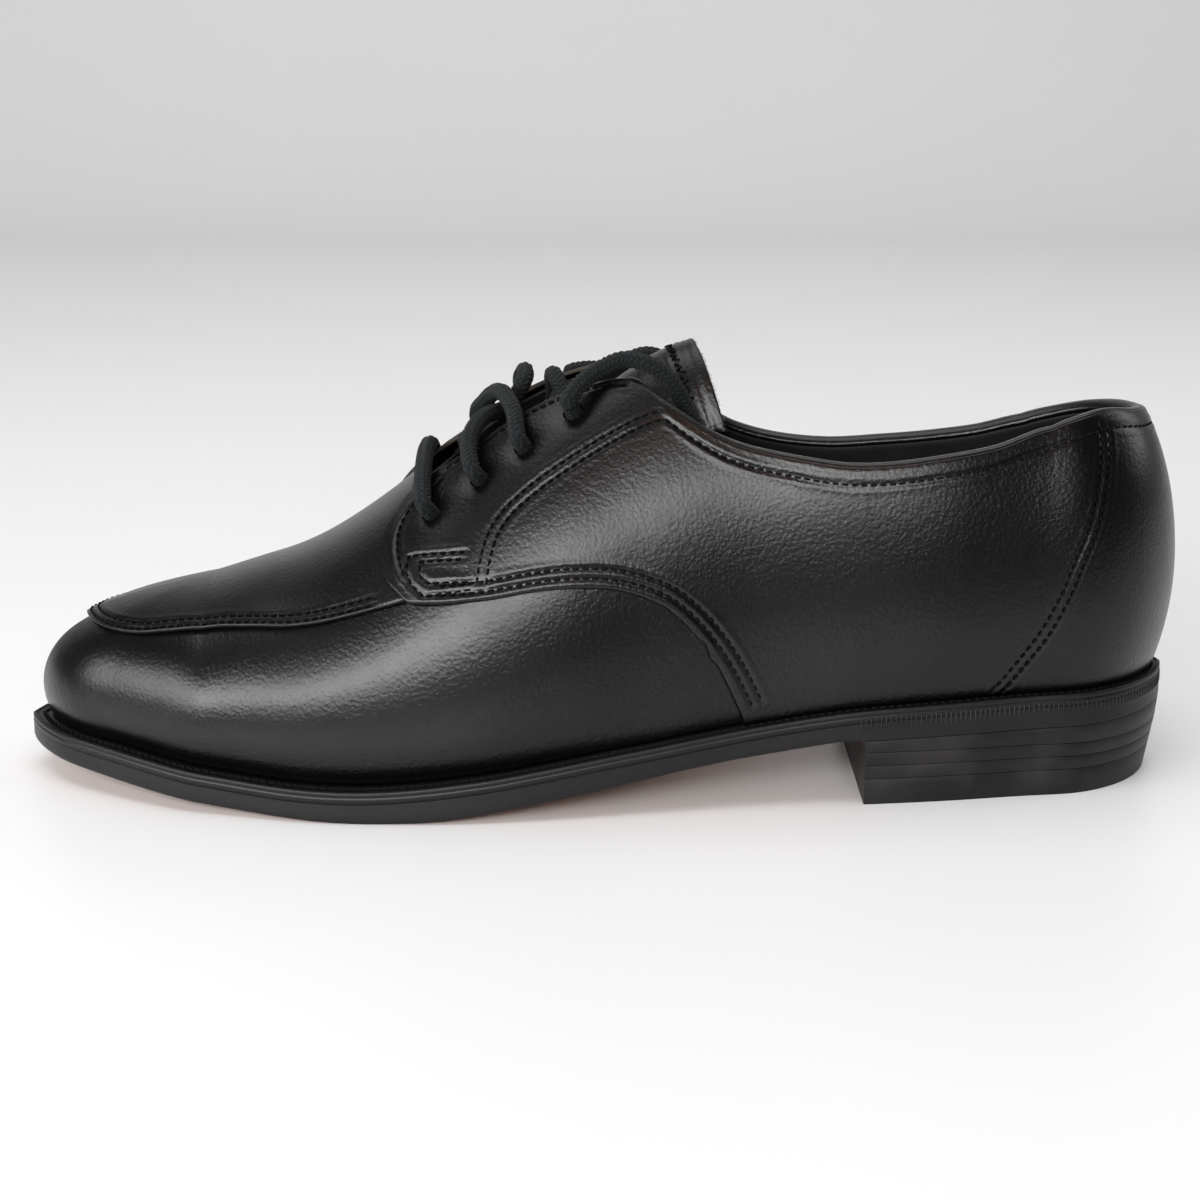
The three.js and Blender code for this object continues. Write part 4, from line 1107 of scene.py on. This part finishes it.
# %% Tongue
HINGE_STATION = 107.5
TONGUE_LEATHER, TONGUE_LINING, TONGUE_DROOP = 1.4, 1.0, 6
tongue_edge = through((107, 0.66), (130, 0.62), (150, 0.6), (165, 0.56), (184, 0.5))
tongue_sink = through((107, 3), (109, 5.8), (112, 6.4), (118, 6.2), (146, 6), (172, 2), (190, 1))
inside_skin = lining_in - GAP


def tongue_end(q):
    return 174.5 + 10 * np.abs(q) ** 1.5


def tongue_points(p, q, depth):
    """A point of the tongue: p runs from the hinge to the free end, q from side to side."""
    p, q = np.broadcast_arrays(p, q)
    side = np.where(q < 0, NEAR, FAR)
    s = HINGE_STATION + p * (tongue_end(q) - HINGE_STATION)
    h = 1 - np.abs(q) * (1 - tongue_edge(s))
    sink = tongue_sink(s) + smooth(140, 170, s) * TONGUE_DROOP * q * q
    return skin(side, s, h, inside_skin - sink + depth)


TONGUE_RUN = 70  # mm of stations from the hinge to the free end, roughly


def tongue_creases(p, q):
    """Small folds across the tongue near its end, in mm."""
    from_end = (1 - p) * TONGUE_RUN + 1.2 * np.sin(3.1 * q + 0.4)
    fade = smooth(0.1, 1.4, from_end) * (1 - smooth(8, 13, from_end))
    fine = 0.16 * np.sin(2 * np.pi * from_end / 2.3 + 1.5 * q)
    broad = 0.1 * np.sin(2 * np.pi * from_end / 3.7 - q)
    return fade * (fine + broad)


def tongue_sheet(name, low, high, finish, node):
    p = np.concatenate([[0, 0.002, 0.006], np.linspace(0.012, 0.988, 90), [0.994, 0.998, 1]])
    q = np.concatenate([[-1, -0.995, -0.985], np.linspace(-0.97, 0.97, 60), [0.985, 0.995, 1]])
    side_round = np.concatenate([[0.35, 0.12, 0.03], np.zeros(60), [0.03, 0.12, 0.35]])
    end_round = np.concatenate([[0.3, 0.1, 0.03], np.zeros(90), [0.03, 0.1, 0.3]])
    inset = np.maximum(side_round[None, :], end_round[:, None])
    creases = tongue_creases(p[:, None], q[None, :]) if high == 0 else 0
    top = tongue_points(p[:, None], q[None, :], high - inset + creases)
    bottom = tongue_points(p[:, None], q[None, :], low + inset)
    outlines = np.concatenate([top, bottom[:, ::-1]], axis=1)
    return leather_piece(name, outlines, finish, [node], body="tongue")


tongue = tongue_sheet("tongue_leather", -TONGUE_LEATHER, 0.0, TONGUE_CALF, "tongue")
tongue_sheet(
    "tongue_lining_leather", -TONGUE_LEATHER - GAP - TONGUE_LINING, -TONGUE_LEATHER - GAP, LINING,
    "tongue_lining",
)
print("tongue:", len(tongue.data.vertices), "points")

# %% [markdown]
# ## Sole and heel
# The welt shows as a ledge round the upper: a groove with rope-like stitches, a flat, and a thin
# raised rim at its outer edge. Below it the sole's edge is inked black and its underside is left
# tan. The heel is a stack of lifts with fine grooves between them. The slabs are lofts too: an
# outline for each station, from the outer edge across to the inner one.

# %% Points on the sole's edge
WELT, WELT_COVER = 2.6, 7.0


def edge_point(side, s, inset, height):
    """A point inset mm from the sole's edge; height is a function of the place along the shoe."""
    x, y, dx, dy = upright_plane(side, s)
    r = rim_radius(side, s) - inset
    px, py = x + dx * r, y + dy * r
    return np.stack(np.broadcast_arrays(px, py, height(px)), -1) * MM + ORIGIN


def above_sole(mm):
    return lambda x: sole_top(x) + mm


def above_ground(mm):
    return lambda x: sole_bottom(x) + mm


TICKS_TOP, TICKS_FOOT = 1.7, 5.2  # mm below the rim, between which the wheel marked the edge


def tick_values(points, drops, stations):
    """How far along the edge each point is, and how strongly the wheel marked it there."""
    run = run_along(points[:, 0])[:, None] + 0 * points[..., 0]
    band = (drops > TICKS_TOP) & (drops < TICKS_FOOT)
    seat = smooth(214, 222, stations)[:, None]
    return run, band[None, :] * seat


# %% Welt
WELT_SECTION = [  # inset from the edge as a share of the ledge's width, or in mm near the rim; then height
    ("share", 1.0, 0.0), ("share", 0.72, 0.0), ("share", 0.67, -0.38), ("share", 0.61, -0.5),
    ("share", 0.55, -0.38), ("share", 0.5, 0.0), ("mm", 1.5, 0.0), ("mm", 1.25, -0.08), ("mm", 1.12, -0.3),
    ("mm", 0.98, -0.05), ("mm", 0.75, 0.22), ("mm", 0.4, 0.26), ("mm", 0.12, 0.08), ("mm", 0.0, -0.25),
    ("mm", 0.0, -0.95), ("mm", 0.22, -1.12), ("mm", 0.22, -1.22), ("mm", 0.0, -1.4), ("mm", 0.0, -1.7),
    ("mm", 0.0, -2.88), ("mm", 1.5, -2.9), ("mm", 1.9, -WELT),
]


def welt_outline(side, s):
    show = welt_show(s)
    places = [edge_point(side, s, show + WELT_COVER, above_sole(0.0))]
    for kind, inset, height in WELT_SECTION:
        across = inset * show if kind == "share" else inset + 0 * show
        places.append(edge_point(side, s, across, above_sole(height)))
    places.append(edge_point(side, s, show + WELT_COVER, above_sole(-WELT)))
    return np.stack(places, axis=1)


s = even_stations(TIP, BACK, 1.0)
near, far = welt_outline(NEAR, s), welt_outline(FAR, s[1:-1][::-1])
outlines = np.concatenate([near, far])
stations = np.concatenate([s, s[1:-1][::-1]])
drops = np.array([0, *(-height for _, _, height in WELT_SECTION), 0.0])
run, mask = tick_values(outlines, drops, stations)
welt = outward(add_piece(
    "welt_ledge", outlines.reshape(-1, 3), loft_quads(*outlines.shape[:2], closed_rows=True), TICKS,
    ["welt"], attributes={"run_mm": run, "tick_mask": mask},
))
print("welt:", len(welt.data.vertices), "points round", round(float(run.max())), "mm")

# %% Slabs across the shoe
def slab(name, stations, section, finish, replaces, ticks=False, capped_start=False):
    """A flat-across slab. section lists (inset, height function) from its top edge to its bottom edge."""
    sides = [
        np.stack([edge_point(side, stations, inset(stations), height) for inset, height in section], axis=1)
        for side in (NEAR, FAR)
    ]
    outlines = np.concatenate([sides[0], sides[1][:, ::-1]], axis=1)
    attributes = {}
    if ticks:
        drops = np.array([2.95, 5.1, 5.5, 9, 9, 9, 9])[: len(section)]
        run, mask = tick_values(sides[0], drops, stations)
        marks = {"run_mm": run, "tick_mask": mask}
        attributes = {key: np.concatenate([v, v[:, ::-1]], axis=1) for key, v in marks.items()}
    rows, across = outlines.shape[:2]
    quads = loft_quads(rows, across, capped=False)
    if capped_start:
        j = np.arange(across // 2 - 1)
        quads = np.concatenate([quads, np.stack([j, j + 1, across - 2 - j, across - 1 - j], -1)])
    piece = add_piece(name, outlines.reshape(-1, 3), quads, finish, replaces, attributes=attributes)
    return merged(piece)


def fixed(mm):
    return lambda s: mm + 0 * np.asarray(s, float)


def seated(mm, at_heel=0.0):
    """An inset that fades where the heel's lifts carry on from the sole's edge."""
    return lambda s: mm + (at_heel - mm) * smooth(216, 219.5, s)


stations = even_stations(TIP, BACK, 1.0)
outsole_section = [
    (fixed(0.0), above_sole(-2.95)), (fixed(0.0), above_sole(-5.0)), (fixed(0.0), above_sole(-5.2)),
    (fixed(0.0), above_ground(1.2)), (seated(0.18), above_ground(0.5)), (seated(0.6), above_ground(0.12)),
    (seated(1.3, 0.12), above_ground(0.0)),
]
outsole = slab("sole_slab", stations, outsole_section, TICKS, ["outsole"], ticks=True)
outsole.data.materials.append(SOLE.material)
for face in outsole.data.polygons:
    if face.normal.z < -0.75:
        face.material_index = 1
shade_by_angle(outsole, 50)
print("outsole:", len(outsole.data.vertices), "points")

# %% Heel stack
HEEL_BREAST, LIFT_THICK, TOP_PIECE = 219.5, 3.6, 7.0
heel_taper = through((219, 1), (266, 1.4), (BACK, 3.2))
GROOVE = 0.08


def heel_slab(name, low, top_at, finish, node):
    taper = lambda z: (lambda s: heel_taper(s) * (1 - min(z, HEEL_SEAT["z"]) / HEEL_SEAT["z"]))
    top = float(top_at(HEEL_BREAST))
    soft = lambda z, more: (lambda s: taper(z)(s) + more)
    section = [
        (soft(top, GROOVE), lambda x: top_at(x) + 0 * x),
        (soft(top, 0.03), lambda x: top_at(x) - 0.07),
        (soft((top + low) / 2, 0.0), lambda x: (top_at(x) + low) / 2),
        (soft(low, 0.03), lambda x: low + 0.07 + 0 * x),
        (soft(low, GROOVE), lambda x: low + 0 * x),
    ]
    stations = even_stations(HEEL_BREAST, BACK, 1.0)
    return shade_by_angle(slab(name, stations, section, finish, [node], capped_start=True), 60)


levels = [TOP_PIECE + i * LIFT_THICK for i in range(3)]
level = lambda z: (lambda x: z + 0 * np.asarray(x, float))
heel_slab("heel_tread", 0.0, level(levels[0] - 0.05), EDGE, "heel_top_piece")
heel_slab("heel_lift_low", levels[0], level(levels[1] - 0.05), EDGE, "heel_lift_3")
heel_slab("heel_lift_middle", levels[1], level(levels[2] - 0.05), EDGE, "heel_lift_2")
heel_slab("heel_lift_high", levels[2], above_ground(-0.05), EDGE, "heel_lift_1")
print("heel grooves at", levels, "mm")

# %% Sock lining
SOCK_LOW, SOCK = 2 * GAP + 2.4, 1.0
sock_inset = lambda s: welt_show(s) - lining_in + 2 * GAP + 0.3
sock_section = [
    (lambda s: sock_inset(s) + 0.3, above_sole(SOCK_LOW + SOCK)),
    (sock_inset, above_sole(SOCK_LOW + SOCK - 0.3)),
    (sock_inset, above_sole(SOCK_LOW)),
]
sock = slab("sock_leather", even_stations(TIP, BACK, 2.0), sock_section, LINING, ["sock_lining"])
print("sock lining:", len(sock.data.vertices), "points")

# %% [markdown]
# ## Stitches
# A stitch is a short length of waxed thread that comes up from one hole and goes down into the
# next. Each one is a small bowed capsule, and one mesh holds a whole row.

# %% Sewing
def sew(
    name, place, normal, pitch=2.4, length=1.8, thick=0.52, slant=0.0, proud=0.16, body="shoe"
):
    """Stitches along a row of points with normals; sizes in mm."""
    run = run_along(place)
    starts = np.arange(0.4, run[-1] - length, pitch)
    t = np.linspace(0, 1, 7)
    where = starts[:, None] + t * length
    at = np.stack([np.interp(where, run, place[:, k]) for k in range(3)], -1)
    up = unit(np.stack([np.interp(where, run, normal[:, k]) for k in range(3)], -1))
    ahead = unit(at[:, -1:] - at[:, :1]) + 0 * at
    across = unit(np.cross(ahead, up))
    bow = (np.sin(np.pi * t) ** 0.5) * (proud + 0.45) - 0.45
    at = at + up * (bow * MM)[None, :, None] + across * ((t - 0.5) * slant * MM)[None, :, None]
    radius = thick / 2 * MM * np.array([0.55, 0.95, 1, 1.02, 1, 0.95, 0.55])
    angle = np.arange(8) / 8 * 2 * np.pi
    cosine, sine = np.cos(angle)[None, None, :, None], np.sin(angle)[None, None, :, None]
    ring = across[:, :, None] * cosine + up[:, :, None] * sine
    points = at[:, :, None] + ring * radius[None, :, None, None]
    one = loft_quads(7, 8)
    quads = (one[None] + (np.arange(len(starts)) * 56)[:, None, None]).reshape(-1, 4)
    return outward(add_piece(name, points.reshape(-1, 3), quads, THREAD, body=body))


for number, (name, place, normal) in enumerate(seams):
    keep = np.concatenate([[True], np.linalg.norm(np.diff(place, axis=0), axis=1) > 1e-7])
    sew(f"stitches_{name}_{number:02d}", place[keep], normal[keep])
print("rows sewn:", len(seams))

# %% Welt stitches
s = even_stations(TIP, BACK, 0.5)
for side, word in ((NEAR, "outer"), (FAR, "inner")):
    row = edge_point(side, s, 0.61 * welt_show(s), above_sole(-0.28))
    up = np.tile([0.0, 0, 1], (len(row), 1))
    sew(
        f"welt_stitches_{word}", row, up, pitch=2.25, length=2.0, thick=0.85, slant=0.5, proud=0.28,
    )
print("welt sewn on both sides")

# %% Wheel marks on the heel seat's edge
def upright_ridges(name, side, first, last, pitch=TICK_PITCH, high=3.0, wide=0.62):
    """Fine upright ridges that a hot wheel pressed into the edge, just under the rim."""
    s = even_stations(first, last, 0.4)
    row = edge_point(side, s, 0.0, above_sole(-3.25))
    run = run_along(row)
    starts = np.arange(0.3, run[-1] - 0.3, pitch)
    at = np.stack([np.interp(starts, run, row[:, k]) for k in range(3)], -1)
    ahead = unit(np.stack([np.interp(starts + 0.2, run, row[:, k]) for k in range(3)], -1) - at)
    out = unit(np.cross(ahead, [0, 0, 1.0]) * side)
    rungs = np.array([-0.5, -0.46, -0.3, 0.3, 0.46, 0.5]) * high * MM
    tall = rungs[None, :, None, None] * np.array([0, 0, 1.0])
    full = np.array([0.25, 0.7, 1, 1, 0.7, 0.25])[None, :, None, None]
    angle = np.arange(8) / 8 * 2 * np.pi
    ring = (
        ahead[:, None] * (np.cos(angle) * wide / 2)[None, :, None]
        + out[:, None] * (np.sin(angle) * 0.16)[None, :, None]
    ) * MM
    points = at[:, None, None] + tall + ring[:, None] * full
    one = loft_quads(6, 8)
    quads = (one[None] + (np.arange(len(starts)) * 48)[:, None, None]).reshape(-1, 4)
    return outward(add_piece(name, points.reshape(-1, 3), quads, EDGE))


for side, word in ((NEAR, "outer"), (FAR, "inner")):
    upright_ridges(f"wheel_marks_{word}", side, 218, BACK)
print("wheel marks every", TICK_PITCH, "mm")

# %% Crossed row near the tongue's end
q = np.linspace(-0.93, 0.93, 49)
p = 0.905 + 0.014 * np.where(np.arange(49) % 2 == 0, 1, -1)
corners = tongue_points(p, q, 0.0)
to_side = tongue_points(p, q + 0.02, 0.0) - corners
to_hinge = tongue_points(p - 0.02, q, 0.0) - corners
up = unit(np.cross(to_side, to_hinge))
up = up * np.sign(up[:, 2:3])
fine_place = np.concatenate([np.linspace(a, b, 8, endpoint=False) for a, b in zip(corners[:-1], corners[1:])])
fine_up = np.repeat(up[:-1], 8, axis=0)
leg = np.linalg.norm(corners[1] - corners[0]) * 1000
sew(
    "stitches_tongue", fine_place, fine_up, pitch=leg, length=leg * 0.96, thick=0.5, proud=0.2, body="tongue"
)
print("tongue row legs", round(leg, 2), "mm")

# %% Fibres on the tongue's cut end
rng = np.random.default_rng(7)
q = np.sort(rng.uniform(-0.98, 0.98, 340))
root = tongue_points(0.999, q, -rng.uniform(0.1, 1.3, len(q)))
away = unit(tongue_points(1.0, q, 0.0) - tongue_points(0.97, q, 0.0))
lean = unit(away + rng.normal(0, 0.55, away.shape))
long = rng.uniform(0.25, 1.0, len(q))[:, None] * MM
first = unit(np.cross(lean, [0.3, 0.2, 1.0]))
second = np.cross(lean, first)
angle = np.arange(4) / 4 * 2 * np.pi
ring = first[:, None] * np.cos(angle)[None, :, None] + second[:, None] * np.sin(angle)[None, :, None]
bend = np.array([0, 0.5, 1.0])[None, :, None, None]
thin = (np.array([0.05, 0.035, 0.012]) * MM)[None, :, None, None]
curl = second[:, None, None] * (bend**2) * long[:, None, None] * 0.3
fibres = root[:, None, None] + lean[:, None, None] * bend * long[:, None, None] + curl + ring[:, None] * thin
one = loft_quads(3, 4)
quads = (one[None] + (np.arange(len(q)) * 12)[:, None, None]).reshape(-1, 4)
outward(add_piece("tongue_fibres", fibres.reshape(-1, 3), quads, RAW_EDGE, body="tongue"))
for face in tongue.data.polygons:
    if face.index >= len(tongue.data.polygons) - 65:
        face.material_index = 1
tongue.data.materials.append(FACING_EDGE.material)
print("fibres:", len(q))

# %% [markdown]
# ## Parts inside the shoe
# The stiffeners, the eyelets behind the lining, the cork, the shank, the insole and the nails keep
# their own solids, which are right as they are. They only need their finishes.

# %% Finishes for the parts inside
INSIDE = {
    "toe_puff": STIFFENER, "heel_counter": STIFFENER, "eyelet_stay_outer": STAY_CLOTH,
    "eyelet_stay_inner": STAY_CLOTH, "cork_filler": CORK, "insole": BOARD, "shank": STEEL,
}
INSIDE |= {f"eyelet_{word}_{i}": STEEL for word in ("outer", "inner") for i in range(1, 5)}
INSIDE |= {f"heel_nail_{i}": STEEL for i in range(1, 6)}
for node, finish in INSIDE.items():
    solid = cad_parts[node]
    solid.data.materials.clear()
    solid.data.materials.append(finish.material)
print("finished inside:", len(INSIDE))

# %% [markdown]
# ## Floor and light
# The shoe stands on a pale glossy sheet that bends up into a wall behind it. A second sheet lies
# in front and is left out of reflections. A wide window panel in front draws the grey sheen along
# the leather. Weaker panels hang overhead and at the sides, one more fills the wall, and a small
# warm lamp gives the brown glints.

# %% Floor and lights
def paper():
    finish = Finish("paper", Specular_IOR_Level=0.4)
    cloud = finish.noise(160, detail=2)
    finish.feed("Base Color", finish.blend(cloud, (0.79, 0.785, 0.79), (0.81, 0.805, 0.81)))
    finish.feed("Roughness", 0.34 + cloud * 0.05)
    return finish.bumped(finish.noise(0.8), 0.01, 0.2)


def stage_sheet(name, outline, wide=2.6):
    """A wide sheet that follows an outline of (distance back, height) points."""
    rows = np.array([[(x, y, z) for y, z in outline] for x in (-wide, 0, wide)])
    n = len(outline)
    faces = [
        (i * n + j, (i + 1) * n + j, (i + 1) * n + j + 1, i * n + j + 1)
        for i in range(2) for j in range(n - 1)
    ]
    mesh = bpy.data.meshes.new(name)
    mesh.from_pydata(rows.reshape(-1, 3).tolist(), [], faces)
    mesh.shade_smooth()
    sheet = bpy.data.objects.new(name, mesh)
    bpy.context.scene.collection.objects.link(sheet)
    mesh.materials.append(PAPER.material)
    return sheet


def sweep():
    """The sheet under the shoe bends up into a wall; the sheet in front of it isn't mirrored."""
    bend, back, split = 0.5, 1.1, -0.27
    turn = np.linspace(0, np.pi / 2, 24)
    curve = [(back + bend * math.sin(a), bend - bend * math.cos(a)) for a in turn]
    stage_sheet("sweep", [(split, 0), *curve, (back + bend, 2.2)])
    stage_sheet("floor_in_front", [(-1.8, 0), (split, 0)]).visible_glossy = False


def panel(name, place, aim, size, power, colour=(1, 1, 1)):
    lamp = bpy.data.lights.new(name, "AREA")
    lamp.shape, lamp.size, lamp.size_y = "RECTANGLE", *size
    lamp.energy, lamp.color = power, colour
    holder = bpy.data.objects.new(name, lamp)
    bpy.context.scene.collection.objects.link(holder)
    holder.location = place
    holder.rotation_euler = (Vector(aim) - Vector(place)).to_track_quat("-Z", "Y").to_euler()
    return holder


PAPER = paper()
sweep()
panel("overhead", (-0.05, 0.15, 1.2), (0, 0.0, 0.05), (1.4, 0.9), 7)
panel("window", (-0.4, -1.4, 0.62), (0, 0, 0.06), (1.65, 0.4), 24)
panel("left", (-1.3, -0.62, 0.55), (-0.1, 0, 0.05), (1.0, 0.6), 10)
panel("right", (1.2, 0.3, 0.6), (0.05, 0, 0.08), (0.5, 0.8), 2.5)
panel("warm_upper", (0.16, -0.8, 0.95), (0.0, 0, 0.09), (0.1, 0.1), 0.4, (1.0, 0.42, 0.16))
panel("wall_fill", (0, -0.4, 1.6), (0, 1.5, 0.7), (1.6, 0.8), 11).visible_glossy = False
world = bpy.data.worlds.new("soft_room")
bpy.context.scene.world = world
world.use_nodes = True
world.node_tree.nodes["Background"].inputs["Color"].default_value = (0.92, 0.94, 1.0, 1)
world.node_tree.nodes["Background"].inputs["Strength"].default_value = 0.09
tone = bpy.context.scene.view_settings
tone.view_transform = "Standard"
tone.use_curve_mapping = True
for dark, shown in ((0.02, 0.009), (0.06, 0.042), (0.16, 0.155), (0.3, 0.3)):
    tone.curve_mapping.curves[3].points.new(dark, shown)
tone.curve_mapping.update()
